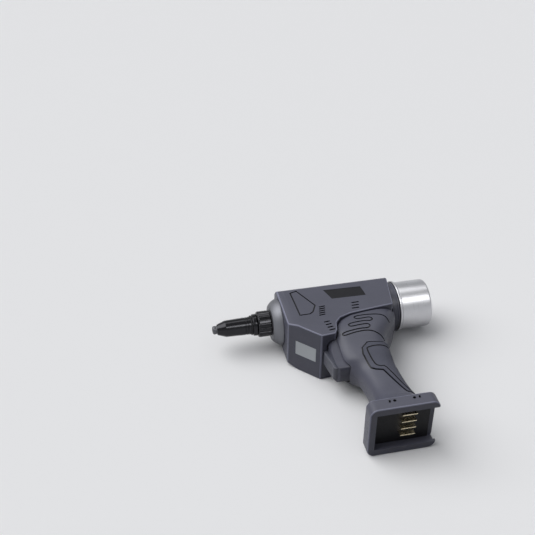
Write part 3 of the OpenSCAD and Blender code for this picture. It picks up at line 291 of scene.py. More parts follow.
def edit(piece, mode="FACE"):
    """Opens a piece in edit mode with all of it selected."""
    pick(piece)
    bpy.ops.object.mode_set(mode="EDIT")
    bpy.ops.mesh.select_mode(type=mode)
    bpy.ops.mesh.select_all(action="SELECT")


def done():
    bpy.ops.object.mode_set(mode="OBJECT")


def mark(piece, value, narrow_only=False):
    """Marks faces: 1 for a painted edge highlight, partly wear, -1 for painted shade in a line or opening."""
    layer = piece.data.attributes.get("wear_sheen_and_line_shade") or piece.data.attributes.new("wear_sheen_and_line_shade", "FLOAT", "FACE")
    for face in piece.data.polygons:
        if not narrow_only or face.select and face.area < NARROW_FACE * MM * MM:
            layer.data[face.index].value = value
    return piece


def rename(piece, name):
    """Gives a piece and its mesh one name."""
    piece.name = name
    piece.data.name = name
    return piece


def face_outwards():
    """Turns all faces of the opened piece outwards and closes it."""
    bpy.ops.mesh.select_all(action="SELECT")
    bpy.ops.mesh.normals_make_consistent(inside=False)
    done()


def add_outline(name, points, fill="NGON"):
    """A closed outline with one corner at each of these places."""
    deselect()
    bpy.ops.mesh.primitive_circle_add(vertices=len(points), radius=MM, fill_type=fill)
    piece = rename(bpy.context.object, name)
    for vertex, point in zip(piece.data.vertices, points):
        vertex.co = place(*point)
    return piece


def extrude(piece, way):
    """Draws a filled outline out along a way in millimetres."""
    edit(piece)
    bpy.ops.mesh.extrude_region_move(TRANSFORM_OT_translate={"value": Vector(way) * MM})
    face_outwards()
    return piece


def slab(name, outline, z0, z1):
    """A side outline drawn from z0 to z1."""
    return extrude(add_outline(name, [(x, y, z0) for x, y in outline]), (0, 0, z1 - z0))


def box(name, low, high):
    """A block between two corners, as a tool that cuts or a start for a piece."""
    (x0, y0, z0), (x1, y1, z1) = low, high
    return slab(name, [(x0, y0), (x1, y0), (x1, y1), (x0, y1)], z0, z1)


def circle(radius, sides, middle=(0, 0)):
    """The corners of a round outline."""
    turns = [2 * math.pi * k / sides for k in range(sides)]
    return [(middle[0] + radius * math.cos(a), middle[1] + radius * math.sin(a)) for a in turns]


def rod(name, x0, x1, radius, sides=64, middle=(0, 0)):
    """A round bar along the drive axis, or beside it."""
    ring = [(x0, y, z) for y, z in circle(radius, sides, middle)]
    return extrude(add_outline(name, ring), (x1 - x0, 0, 0))


def pin(name, x, y, z0, z1, radius, sides=36):
    """A round bar across the tool."""
    return slab(name, circle(radius, sides, (x, y)), z0, z1)


def turned(name, profile, steps):
    """A closed profile of places along the axis and radii, spun about the drive axis."""
    piece = add_outline(name, [(x, r, 0) for x, r in profile], fill="NOTHING")
    edit(piece, "VERT")
    bpy.ops.mesh.spin(steps=steps, angle=2 * math.pi, center=place(0, 0, 0), axis=(1, 0, 0))
    bpy.ops.mesh.select_all(action="SELECT")
    bpy.ops.mesh.remove_doubles(threshold=MERGE * MM)
    face_outwards()
    return piece


def loft(name, rings):
    """A closed skin over rings of places that all have the same number of corners."""
    around = len(rings[0])
    deselect()
    bpy.ops.mesh.primitive_grid_add(x_subdivisions=around, y_subdivisions=len(rings) - 1, size=MM)
    piece = rename(bpy.context.object, name)
    if len(piece.data.vertices) != (around + 1) * len(rings):
        raise RuntimeError("the grid has another number of corners than the rings")
    for k, vertex in enumerate(piece.data.vertices):
        vertex.co = place(*rings[k // (around + 1)][k % (around + 1) % around])
    edit(piece, "VERT")
    bpy.ops.mesh.remove_doubles(threshold=MERGE * MM)
    bpy.ops.mesh.fill_holes(sides=0)
    face_outwards()
    return piece


def apply(piece, modifier):
    pick(piece)
    bpy.ops.object.modifier_apply(modifier=modifier.name)


def combine(piece, other, way):
    """Unites, cuts or crops a piece with another, which is used up."""
    modifier = piece.modifiers.new(way.title(), "BOOLEAN")
    modifier.operation = way
    modifier.solver = "EXACT"
    modifier.object = other
    apply(piece, modifier)
    bpy.data.objects.remove(other)
    return piece


def cut(piece, *others):
    for other in others:
        combine(piece, other, "DIFFERENCE")
    return piece


def subdivide(piece, levels):
    modifier = piece.modifiers.new("Smooth form", "SUBSURF")
    modifier.levels = levels
    modifier.render_levels = levels
    apply(piece, modifier)


def round_edges(piece, width, segments=3):
    """Rounds the sharp edges."""
    modifier = piece.modifiers.new("Rounded edges", "BEVEL")
    modifier.width = width * MM
    modifier.segments = segments
    modifier.limit_method = "ANGLE"
    modifier.angle_limit = math.radians(SHARP_ANGLE)
    modifier.use_clamp_overlap = True
    apply(piece, modifier)


def shade(piece, angle=35, weighted=True):
    """Smooth shading that keeps flat faces flat."""
    pick(piece)
    bpy.ops.object.shade_smooth_by_angle(angle=math.radians(angle))
    if weighted:
        modifier = piece.modifiers.new("Flat faces", "WEIGHTED_NORMAL")
        modifier.keep_sharp = True
        apply(piece, modifier)


def copy_node(node, name):
    """A merged copy of a CAD node's mesh, with its flat faces made whole."""
    deselect()
    piece = frame["nodes"][node].copy()
    piece.data = piece.data.copy()
    piece.animation_data_clear()
    for key in list(piece.keys()):
        del piece[key]
    piece.parent = None
    rename(piece, name)
    bpy.context.scene.collection.objects.link(piece)
    piece.data.materials.clear()
    edit(piece, "VERT")
    bpy.ops.mesh.customdata_custom_splitnormals_clear()
    bpy.ops.mesh.remove_doubles(threshold=0.002 * MM)
    bpy.ops.mesh.dissolve_limited(angle_limit=math.radians(0.5))
    done()
    return piece


def hand_over(piece, body, slot, *nodes, look=None):
    """Gives a finished piece its material and its body, and hides the CAD nodes that it stands for."""
    piece.data.materials.clear()
    piece.data.materials.append(material_of(look or slot))
    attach(piece, body)
    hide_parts(*nodes)
    return piece


def inset(outline, distance):
    """A clockwise outline drawn inwards, or an anticlockwise one drawn outwards."""
    corners = [Vector(p) for p in outline]
    result = []
    for k, corner in enumerate(corners):
        before = (corner - corners[k - 1]).normalized()
        after = (corners[(k + 1) % len(corners)] - corner).normalized()
        n1 = Vector((before.y, -before.x))
        n2 = Vector((after.y, -after.x))
        result.append(tuple(corner + (n1 + n2) * (distance / (1 + n1.dot(n2)))))
    return result


def smooth_line(points, steps=5):
    """A line through all the points with no corners."""
    line = [Vector(p) for p in points]
    line = [2 * line[0] - line[1]] + line + [2 * line[-1] - line[-2]]
    result = []
    for a, b, c, d in zip(line, line[1:], line[2:], line[3:]):
        for k in range(steps):
            t = k / steps
            result.append(0.5 * (2 * b + (c - a) * t + (2 * a - 5 * b + 4 * c - d) * t ** 2
                                 + (3 * b - a - 3 * c + d) * t ** 3))
    return result + [line[-2]]


def strip(points, width):
    """The outline of a band of that width along an open line."""
    line = [Vector(p) for p in points]
    left = []
    right = []
    for k, point in enumerate(line):
        way = (line[min(k + 1, len(line) - 1)] - line[max(k - 1, 0)]).normalized()
        side = Vector((-way.y, way.x)) * width / 2
        left.append(tuple(point + side))
        right.append(tuple(point - side))
    return left + right[::-1]


# Materials


class Finish:
    """A node material that is put together step by step."""

    def __init__(self, name, colour, metallic=0.0, roughness=0.5):
        self.material = bpy.data.materials.new(name)
        self.material.use_nodes = True
        self.tree = self.material.node_tree
        self.shader = self.tree.nodes["Principled BSDF"]
        self.shader.inputs["Base Color"].default_value = (*colour, 1)
        self.shader.inputs["Metallic"].default_value = metallic
        self.shader.inputs["Roughness"].default_value = roughness
        self.colour = colour
        self.material.diffuse_color = (*colour, 1)

    def add(self, kind, **settings):
        node = self.tree.nodes.new(kind)
        for key, value in settings.items():
            setattr(node, key, value)
        return node

    def link(self, start, end):
        self.tree.links.new(start, end)

    def noise(self, scale, detail=2.0, stretch=(1, 1, 1)):
        """Noise in object coordinates, stretched along the axes."""
        coordinates = self.add("ShaderNodeTexCoord")
        mapping = self.add("ShaderNodeMapping")
        mapping.inputs["Scale"].default_value = stretch
        texture = self.add("ShaderNodeTexNoise")
        texture.inputs["Scale"].default_value = scale
        texture.inputs["Detail"].default_value = detail
        self.link(coordinates.outputs["Object"], mapping.inputs["Vector"])
        self.link(mapping.outputs["Vector"], texture.inputs["Vector"])
        return texture.outputs["Fac"]

    def cells(self, scale):
        """Distance to the nearest of many scattered points, in object coordinates."""
        coordinates = self.add("ShaderNodeTexCoord")
        texture = self.add("ShaderNodeTexVoronoi")
        texture.inputs["Scale"].default_value = scale
        self.link(coordinates.outputs["Object"], texture.inputs["Vector"])
        return texture.outputs["Distance"]

    def spread(self, factor, low, high):
        """A factor between 0.3 and 0.7 turned into a number between low and high."""
        node = self.add("ShaderNodeMapRange")
        node.inputs["From Min"].default_value = 0.3
        node.inputs["From Max"].default_value = 0.7
        node.inputs["To Min"].default_value = low
        node.inputs["To Max"].default_value = high
        self.link(factor, node.inputs["Value"])
        return node.outputs["Result"]

    def vary_colour(self, factor, darker, lighter):
        """Mixes the colour between a darker and a lighter one."""
        node = self.add("ShaderNodeMix", data_type="RGBA")
        node.inputs[COLOUR_A].default_value = (*[c * darker for c in self.colour], 1)
        node.inputs[COLOUR_B].default_value = (*[min(1, c * lighter) for c in self.colour], 1)
        self.link(factor, node.inputs["Factor"])
        self.link(node.outputs[COLOUR_RESULT], self.shader.inputs["Base Color"])

    def wear_sheen_and_line_shade(self, lighter=2.4, darker=0.05):
        """Paints the faces marked 1 lighter as an edge highlight, partly wear, and those marked -1 darker as
        shade in lines and openings.
        """
        marks = self.add("ShaderNodeAttribute", attribute_name="wear_sheen_and_line_shade")
        source = self.shader.inputs["Base Color"].links[0].from_socket
        for way, share in ((1, lighter), (-1, darker)):
            amount = self.add("ShaderNodeMath", operation="MULTIPLY", use_clamp=True)
            amount.inputs[1].default_value = way
            self.link(marks.outputs["Fac"], amount.inputs[0])
            node = self.add("ShaderNodeMix", data_type="RGBA")
            node.inputs[COLOUR_B].default_value = (*[min(1, c * share) for c in self.colour], 1)
            self.link(amount.outputs[0], node.inputs["Factor"])
            self.link(source, node.inputs[COLOUR_A])
            source = node.outputs[COLOUR_RESULT]
        self.link(source, self.shader.inputs["Base Color"])

    def vary_roughness(self, factor, low, high):
        self.link(self.spread(factor, low, high), self.shader.inputs["Roughness"])

    def bump(self, height, depth, strength=1.0):
        """Bumps of a depth in millimetres, on top of those given before."""
        node = self.add("ShaderNodeBump")
        node.inputs["Strength"].default_value = strength
        node.inputs["Distance"].default_value = depth * MM
        self.link(height, node.inputs["Height"])
        before = self.shader.inputs["Normal"].links
        if before:
            self.link(before[0].from_socket, node.inputs["Normal"])
        self.link(node.outputs["Normal"], self.shader.inputs["Normal"])


def moulded_plastic(name, colour, roughness, grain=2600, depth=0.03, gloss=0.5):
    """Moulded plastic with a fine spark-eroded grain and a faint cloudiness."""
    finish = Finish(name, colour, roughness=roughness)
    finish.shader.inputs["Specular IOR Level"].default_value = gloss
    finish.vary_colour(finish.noise(55, 3), 0.9, 1.1)
    # Painted highlight on marked edges and painted shade in marked lines and openings
    finish.wear_sheen_and_line_shade()
    finish.vary_roughness(finish.noise(420, 3), roughness - 0.06, roughness + 0.08)
    finish.bump(finish.noise(grain, 2), depth)
    return finish.material


def soft_rubber(name, colour, roughness=0.72, grain=1100, depth=0.08):
    """Rubber with a dimpled skin."""
    finish = Finish(name, colour, roughness=roughness)
    finish.shader.inputs["Specular IOR Level"].default_value = 0.35
    finish.vary_colour(finish.noise(70, 3), 0.88, 1.12)
    # Painted highlight on marked edges and painted shade in marked lines
    finish.wear_sheen_and_line_shade()
    finish.vary_roughness(finish.noise(500, 2), roughness - 0.08, roughness + 0.08)
    finish.bump(finish.cells(grain), depth)
    finish.bump(finish.noise(3200, 2), 0.02)
    return finish.material


def turned_metal(name, colour, roughness, lines=2600, depth=0.012):
    """Metal with fine marks that run round the drive axis."""
    finish = Finish(name, colour, metallic=1.0, roughness=roughness)
    marks = finish.noise(lines, 3, stretch=(1, 0.02, 0.02))
    finish.vary_colour(finish.noise(60, 3), 0.9, 1.08)
    finish.vary_roughness(marks, roughness - 0.07, roughness + 0.09)
    finish.bump(marks, depth)
    finish.bump(finish.noise(900, 4), 0.004)
    return finish.material


def ground_metal(name, colour, roughness):
    """Metal with a short ground grain."""
    finish = Finish(name, colour, metallic=1.0, roughness=roughness)
    grain = finish.noise(1500, 4, stretch=(0.2, 1, 1))
    finish.vary_colour(finish.noise(80, 2), 0.9, 1.1)
    finish.vary_roughness(grain, roughness - 0.08, roughness + 0.1)
    finish.bump(grain, 0.006)
    return finish.material


def lacquered_board(name, colour):
    """A circuit board with a lacquer over its copper lines."""
    finish = Finish(name, colour, roughness=0.35)
    coordinates = finish.add("ShaderNodeTexCoord")
    lines = finish.add("ShaderNodeTexBrick")
    lines.inputs["Scale"].default_value = 260
    finish.link(coordinates.outputs["Object"], lines.inputs["Vector"])
    finish.vary_colour(lines.outputs["Fac"], 1.0, 1.8)
    finish.bump(lines.outputs["Fac"], 0.03)
    finish.vary_roughness(finish.noise(600, 2), 0.28, 0.42)
    return finish.material


def clear_lens(name, colour):
    """Clear moulded plastic with fine flutes along it."""
    finish = Finish(name, colour, roughness=0.12)
    finish.shader.inputs["Transmission Weight"].default_value = 0.4
    finish.shader.inputs["IOR"].default_value = 1.49
    finish.vary_roughness(finish.noise(300, 2), 0.08, 0.18)
    flutes = finish.noise(900, 1, stretch=(0.05, 0.05, 1))
    finish.bump(flutes, 0.05)
    return finish.material


# Settings


# What all colour settings share
TINT = {"subtype": "COLOR", "min": 0, "max": 1}


class RivetToolSizes(bpy.types.PropertyGroup):
    edge_round: FloatProperty(
        name="Edge rounding", description="Rounding of the body's edges, in mm",
        default=1.2, min=0.2, max=1.5)
    seam_gap: FloatProperty(
        name="Seam gap", description="Gap between the halves of the housing, in mm",
        default=0.2, min=0.05, max=0.5)
    wall: FloatProperty(
        name="Wall", description="Thickness of the housing, in mm", default=2.6, min=2, max=2.7)
    line_width: FloatProperty(
        name="Line width", description="Width of the moulded lines, in mm", default=1.5, min=0.4, max=1.8)
    line_depth: FloatProperty(
        name="Line depth", description="Depth of the moulded lines, in mm", default=1.0, min=0.2, max=1.2)
    grip_thickness: FloatProperty(
        name="Grip thickness", description="Thickness of the back grip, in mm",
        default=0.7, min=0.6, max=1.6)
    nut_ribs: IntProperty(
        name="Nut ribs", description="Ribs round the lock nut", default=20, min=12, max=36)
    turn_steps: IntProperty(
        name="Turning steps", description="Faces round each turned piece", default=96, min=32, max=192)


class RivetToolColours(bpy.types.PropertyGroup):
    housing: FloatVectorProperty(
        name="Housing", description="Colour of the housing", default=(0.082, 0.084, 0.114), **TINT)
    grip: FloatVectorProperty(
        name="Grip", description="Colour of the back grip", default=(0.08, 0.083, 0.112), **TINT)
    black_plastic: FloatVectorProperty(
        name="Black plastic", description="Colour of the black plastic pieces",
        default=(0.01, 0.01, 0.012), **TINT)
    trigger: FloatVectorProperty(
        name="Trigger", description="Colour of the trigger", default=(0.08, 0.083, 0.107), **TINT)
    plate: FloatVectorProperty(
        name="Plate", description="Colour of the bare name plates", default=(0.008, 0.008, 0.011), **TINT)
    ring_metal: FloatVectorProperty(
        name="Front ring", description="Colour of the front ring", default=(0.19, 0.194, 0.212), **TINT)
    collector_metal: FloatVectorProperty(
        name="Collector", description="Colour of the mandrel collector", default=(0.56, 0.56, 0.58), **TINT)
    black_steel: FloatVectorProperty(
        name="Black steel", description="Colour of the barrel and the lock nut",
        default=(0.036, 0.036, 0.039), **TINT)
    tip_steel: FloatVectorProperty(
        name="Nosepiece", description="Colour of the nosepiece", default=(0.12, 0.12, 0.13), **TINT)
    steel: FloatVectorProperty(
        name="Steel", description="Colour of the bare steel", default=(0.5, 0.5, 0.52), **TINT)
    brass: FloatVectorProperty(
        name="Brass", description="Colour of the battery contacts", default=(0.88, 0.78, 0.56), **TINT)
    copper: FloatVectorProperty(
        name="Copper", description="Colour of the windings and the bushes", default=(0.6, 0.32, 0.18), **TINT)
    board: FloatVectorProperty(
        name="Board", description="Colour of the circuit boards", default=(0.02, 0.09, 0.045), **TINT)
    lens: FloatVectorProperty(
        name="Lens", description="Colour of the light lens", default=(0.82, 0.86, 0.9), **TINT)


class RivetToolStage(bpy.types.PropertyGroup):
    floor_colour: FloatVectorProperty(
        name="Floor", description="Colour of the floor", default=(0.86, 0.86, 0.87), **TINT)
    floor_bounce: FloatVectorProperty(
        name="Floor bounce", description="Colour of the floor in the light that it throws back",
        default=(0.14, 0.14, 0.145), **TINT)
    overhead_strength: FloatProperty(
        name="Overhead light", description="Strength of the soft light from above",
        default=2.3, min=0, max=6)
    front_panel_power: FloatProperty(
        name="Front panel", description="Power of the panel that metal shows in front",
        default=6.5, min=0, subtype="POWER", unit="POWER")
    rear_panel_power: FloatProperty(
        name="Rear panel", description="Power of the panel that metal shows behind",
        default=2.4, min=0, subtype="POWER", unit="POWER")
    world_strength: FloatProperty(
        name="World", description="Strength of the light from the sky", default=0.38, min=0, max=2)


def sizes():
    return bpy.context.scene.rivet_tool_sizes


def colour(name):
    return tuple(getattr(bpy.context.scene.rivet_tool_colours, name))


# Maker, colour and settings of the material of each slot
FINISHES = {
    "housing_plastic": (moulded_plastic, "housing", {"roughness": 0.4, "gloss": 0.42}),
    "soft_grip": (soft_rubber, "grip", {}),
    "name_plate": (moulded_plastic, "plate", {"roughness": 0.34, "grain": 900, "depth": 0.01, "gloss": 0.3}),
    "satin_metal": (turned_metal, "ring_metal", {"roughness": 0.5}),
    "collector_metal": (turned_metal, "collector_metal", {"roughness": 0.34, "lines": 3400}),
    "black_steel": (turned_metal, "black_steel", {"roughness": 0.17, "depth": 0.003}),
    "tip_steel": (turned_metal, "tip_steel", {"roughness": 0.3}),
    "steel": (ground_metal, "steel", {"roughness": 0.28}),
    "black_plastic": (moulded_plastic, "black_plastic", {"roughness": 0.5, "gloss": 0.25}),
    "trigger_plastic": (moulded_plastic, "trigger", {"roughness": 0.42}),
    "seal_rubber": (soft_rubber, "black_plastic", {"roughness": 0.6, "grain": 2400, "depth": 0.02}),
    "contact_brass": (ground_metal, "brass", {"roughness": 0.24}),
    "copper": (ground_metal, "copper", {"roughness": 0.35}),
    "board": (lacquered_board, "board", {}),
    "lens": (clear_lens, "lens", {}),
}
MATERIALS = {}


def material_of(slot):
    """The material of a slot, made when it is first asked for."""
    if slot not in MATERIALS:
        make, colour_name, settings = FINISHES[slot]
        MATERIALS[slot] = make(slot, colour(colour_name), **settings)
    return MATERIALS[slot]


# Housing


def body_form(name, t):
    """The left half of the body and a little past the middle plane, drawn inwards by t."""
    low = -ROOM_PAST if t else -BODY_PAST
    side = HALF_WIDTH - t
    roof = ROOF_RADIUS - t
    body = slab(name, inset(BODY_OUTLINE, t), low, side)
    shoulder = math.acos(side / roof)
    steps = 18
    turns = [shoulder + (math.pi / 2 - shoulder) * k / steps for k in range(steps)]
    arc = [(roof * math.sin(a), roof * math.cos(a)) for a in turns]
    roof_section = [(-80, low - 1), (-80, side)] + arc + [(roof, 0), (roof, low - 1)]
    roof_form = extrude(add_outline("roof", [(-5, y, z) for y, z in roof_section]), (FAR, 0, 0))
    combine(body, roof_form, "INTERSECT")
    edit(body)
    taper = Vector((FRONT_HALF_WIDTH - HALF_WIDTH, 0, FRONT_TAPER_LENGTH)).normalized()
    front_edge = place(0, 0, FRONT_HALF_WIDTH - t)
    bpy.ops.mesh.bisect(plane_co=front_edge, plane_no=taper, use_fill=True, clear_outer=True)
    bpy.ops.mesh.select_all(action="SELECT")
    bpy.ops.mesh.dissolve_limited(angle_limit=math.radians(0.2))
    done()
    return body


def round_body(body):
    """Rounds the sharp edges, apart from those past the middle plane, which are cut away later."""
    edit(body, "EDGE")
    bpy.ops.mesh.remove_doubles(threshold=SHORT_EDGE * MM)
    bpy.ops.mesh.select_all(action="DESELECT")
    bpy.ops.mesh.edges_select_sharp(sharpness=math.radians(SHARP_ANGLE))
    done()
    places = [v.co / MM - ORIGIN for v in body.data.vertices]
    for face in body.data.polygons:
        face.select = False
    for e in body.data.edges:
        if all(places[v].z < -EDGE_PAST for v in e.vertices):
            e.select = False
    bpy.ops.object.mode_set(mode="EDIT")
    bpy.ops.mesh.bevel(offset=sizes().edge_round * MM, segments=3, affect="EDGES", clamp_overlap=False)
    done()
    # Narrow rounded faces get a painted highlight, partly wear
    mark(body, 1, narrow_only=True)


def section(station, t):
    """A ring round the handle at a station, drawn inwards by t."""
    y, front, back, half, squareness = station
    middle = (front + back) / 2
    reach = (back - front) / 2 - t
    ring = []
    for k in range(HANDLE_CORNERS):
        a = 2 * math.pi * (k + 0.5) / HANDLE_CORNERS
        c = math.copysign(abs(math.cos(a)) ** (2 / squareness), math.cos(a))
        s = math.copysign(abs(math.sin(a)) ** (2 / squareness), math.sin(a))
        ring.append((middle + reach * c, y, (half - t) * s))
    return ring


def handle_form(name, t, levels=2, stations=HANDLE_STATIONS):
    """The handle with bulge and flare, drawn inwards by t."""
    form = loft(name, [section(s, t) for s in stations])
    subdivide(form, levels)
    return form


def foot_form():
    """The left half of the rounded block of the foot and a little more."""
    corners = []
    steps = 10
    for x, y, start in ((FOOT_BACK - FOOT_CORNER, HALF_WIDTH - FOOT_CORNER, 0),
                        (FOOT_FRONT + FOOT_CORNER, HALF_WIDTH - FOOT_CORNER, 90)):
        for k in range(steps + 1):
            a = math.radians(start + 90 * k / steps)
            corners.append((x + FOOT_CORNER * math.cos(a), y + FOOT_CORNER * math.sin(a)))
    outline = corners + [(FOOT_FRONT, -FOOT_PAST), (FOOT_BACK, -FOOT_PAST)]
    foot = add_outline("foot", [(x, FOOT_BOTTOM, z) for x, z in outline])
    extrude(foot, (0, FOOT_TOP - FOOT_BOTTOM, 0))
    round_body(foot)
    return foot


def on_slope(along, inwards, z):
    """A place on the slope of the belly: along it, into the body and to the left."""
    c, s = math.cos(SLOPE_ANGLE), math.sin(SLOPE_ANGLE)
    return (along * c - inwards * s, SLOPE_TOP[1] + along * s + inwards * c, z)


def slope_box(name, along, inwards, half):
    """A block in the slope, across the middle plane."""
    (a0, a1), (d0, d1) = along, inwards
    corners = [on_slope(a, d, -half) for a, d in ((a0, d0), (a1, d0), (a1, d1), (a0, d1))]
    return extrude(add_outline(name, corners), (0, 0, 2 * half))


def guard_form(name, grow):
    """The left half of the rounded guard that the trigger moves in, drawn outwards by grow."""
    low = -GUARD_PAST - grow
    (front, bottom, _), (back, top, side) = GUARD_ROOM
    guard = slab(name, inset(GUARD_SIDE, grow), low, side)
    plan = [(x - grow, z + grow) for x, z in smooth_line(GUARD_PLAN, 4)]
    plan = [(plan[0][0], low - 1)] + plan + [(60, plan[-1][1]), (60, low - 1)]
    face = [(y - grow * 0.7, z + grow) for y, z in smooth_line(GUARD_FACE, 4)]
    face = [(-50, low - 1), (-50, face[0][1])] + face + [(face[-1][0], low - 1)]
    from_above = add_outline("guard_plan", [(x, bottom, z) for x, z in plan])
    combine(guard, extrude(from_above, (0, top - bottom, 0)), "INTERSECT")
    from_front = add_outline("guard_face", [(front, y, z) for y, z in face])
    combine(guard, extrude(from_front, (back - front, 0, 0)), "INTERSECT")
    return guard


def obround(x, y, length, height, lean, steps=8):
    """The outline of a slot with round ends."""
    turn = math.radians(lean)
    reach = (length - height) / 2
    points = []
    for side, start in ((1, -90), (-1, 90)):
        for k in range(steps + 1):
            a = math.radians(start + 180 * k / steps)
            along = side * reach + height / 2 * math.cos(a)
            across = height / 2 * math.sin(a)
            points.append((x + along * math.cos(turn) - across * math.sin(turn),
                           y + along * math.sin(turn) + across * math.cos(turn)))
    return points


def vent_cutters():
    for first, last, count, length, lean in VENT_ROWS:
        for k in range(count):
            share = k / (count - 1)
            x = first[0] + (last[0] - first[0]) * share
            y = first[1] + (last[1] - first[1]) * share
            outline = obround(x, y, length, VENT_HEIGHT, lean)
            # Painted shade inside the vents
            yield mark(slab("vent", outline, HALF_WIDTH / 2, HALF_WIDTH + OVERCUT), -1)


def groove_cutter(outline, depth_form):
    """A band from the side that only reaches as deep as the given form lies under the skin."""
    groove = slab("groove", outline, SIDE_LINE_END, HALF_WIDTH + 4)
    # Painted shade in the groove
    return mark(cut(groove, depth_form), -1)


def make_left_half():
    """The left half of the housing with its room, its openings and the lines round its forms."""
    wall = sizes().wall
    width = sizes().line_width
    depth = sizes().line_depth
    body = body_form("left_half", 0)
    round_body(body)
    handle = handle_form("handle", 0)
    body_line = slab("body_line", inset(BODY_OUTLINE, -width * BODY_LINE_SHARE), BODY_LINE_END, OUTSIDE)
    cut(body_line, handle_form("body_line_depth", depth * DEEP_LINE))
    # Painted shade in the line round the body
    cut(handle, mark(body_line, -1))
    combine(body, handle, "UNION")
    combine(body, foot_form(), "UNION")
    guard_line = guard_form("guard_line", width * GUARD_LINE_SHARE)
    cut(guard_line, handle_form("guard_depth", depth * DEEP_LINE))
    # Painted shade in the line round the guard
    cut(body, mark(guard_line, -1))
    guard = guard_form("guard", 0)
    round_edges(guard, GUARD_ROUND)
    combine(body, guard, "UNION")
    grip_line = slab("grip_line", inset(GRIP_OUTLINE[::-1], -width), GRIP_EDGE_END, OUTSIDE)
    cut(grip_line, handle_form("grip_line_depth", depth))
    # Painted shade in the line round the grip
    cut(body, mark(grip_line, -1))
    room = body_form("room", wall)
    room_crop = box("room_crop", (wall, ROOM_LOW, -BODY_PAST), (ROOM_END, OUTSIDE, OUTSIDE))
    combine(room, room_crop, "INTERSECT")
    inner = [s for s in HANDLE_STATIONS if HANDLE_ROOM_BOTTOM < s[0] < LOWER_HANDLE]
    cut(body, room, handle_form("handle_room", wall, 1, inner + HANDLE_ROOM_END))
    cut(body, rod("nose_hole", *NOSE_HOLE), rod("collar_hole", *COLLAR_HOLE, 96))
    wide = CHANNEL_HALF_WIDTH
    narrow = wide - RAIL_WIDTH
    open_end = FOOT_BACK + OVERCUT
    cut(body,
        box("channel", (CHANNEL_FRONT, RAIL_TOP, -OVERCUT), (open_end, CHANNEL_ROOF, wide)),
        box("mouth", (CHANNEL_FRONT, FOOT_BOTTOM - OVERCUT, -OVERCUT), (open_end, RAIL_TOP + 1, narrow)),
        box("shoe_hole", *SHOE_HOLE),
        box("trigger_hole", *TRIGGER_HOLE),
        slope_box("lens_hole", (LENS_START - LENS_GAP, LENS_START + LENS_LENGTH + LENS_GAP), (-2, wall + 2),
                  LENS_HALF_WIDTH + LENS_GAP))
    cut(body, *vent_cutters())
    cut(body, slab("plate_hole", PLATE_OUTLINE, HALF_WIDTH - PLATE_BED, HALF_WIDTH + OVERCUT))
    combine(body, box("left_side", (-20, -FAR, sizes().seam_gap / 2), (FAR, FAR, FAR)), "INTERSECT")
    return body


def cut_lines(body):
    """The lines in the side panel and in the bulge, and the marks on the foot."""
    width = sizes().line_width
    depth = sizes().line_depth
    panel = slab("panel", inset(SIDE_PANEL, -width / 2), HALF_WIDTH - depth, HALF_WIDTH + 2)
    cut(panel, slab("panel_middle", inset(SIDE_PANEL, width / 2), HALF_WIDTH - depth - 1, HALF_WIDTH + 3))
    # Painted shade in the panel line
    cut(body, mark(panel, -1))
    cut(body, groove_cutter(strip(smooth_line(BULGE_LINE), width), handle_form("line_depth", depth)))
    for x, y in HOOK_HOLES:
        # Painted shade inside the hook holes
        cut(body, mark(pin("hook_hole", x, y, HALF_WIDTH - 4, HALF_WIDTH + 2, HOOK_HOLE_RADIUS), -1))
    for x, y in HOOK_SLITS:
        outline = obround(x, y, *HOOK_SLIT_SHAPE)
        # Painted shade inside the hook slits
        cut(body, mark(slab("hook_slit", outline, HALF_WIDTH - 2, HALF_WIDTH + 2), -1))


def mirrored(piece, name):
    """A copy on the right side, with its own mesh."""
    pick(piece)
    bpy.ops.object.duplicate()
    other = rename(bpy.context.object, name)
    edit(other, "VERT")
    bpy.ops.transform.mirror(constraint_axis=(False, False, True), orient_type="GLOBAL",
                             center_override=place(0, 0, 0))
    bpy.ops.mesh.flip_normals()
    done()
    return other


class RIVET_OT_housing(bpy.types.Operator):
    """Models the two halves of the housing with their vents, lines and openings"""

    bl_idname = "rivet_tool.housing"
    bl_label = "Housing"

    def execute(self, context):
        left = make_left_half()
        cut_lines(left)
        right = mirrored(left, "right_half")
        for x, y in SCREW_PLACES:
            cut(right, pin("screw_hole", x, y, -FAR, SCREW_HOLE_END, SCREW_HOLE_RADIUS))
        for piece, node in ((left, "left_housing"), (right, "right_housing")):
            shade(piece)
            hand_over(piece, "tool", "housing_plastic", node)
        return {"FINISHED"}


class RIVET_OT_back_grip(bpy.types.Operator):
    """Models the rubber pad on the back of the handle"""

    bl_idname = "rivet_tool.back_grip"
    bl_label = "Back grip"

    def execute(self, context):
        thickness = sizes().grip_thickness
        stations = [s for s in HANDLE_STATIONS if s[0] < LOWER_HANDLE]
        grip = handle_form("back_grip_pad", -thickness, 2, stations)
        combine(grip, slab("grip_outline", GRIP_OUTLINE, -OUTSIDE, OUTSIDE), "INTERSECT")
        cut(grip, handle_form("grip_bed", -GRIP_GAP, 2, stations))
        line = strip(smooth_line(GRIP_LINE, 3), sizes().line_width)
        for z0, z1 in ((SIDE_LINE_END, OUTSIDE), (-OUTSIDE, -SIDE_LINE_END)):
            groove = slab("grip_groove", line, z0, z1)
            cut(groove, handle_form("groove_depth", -GRIP_LINE_FLOOR * thickness, 2, stations))
            # Painted shade in the grip's line
            cut(grip, mark(groove, -1))
        shade(grip, 40)
        hand_over(grip, "tool", "soft_grip", "back_grip")
        return {"FINISHED"}


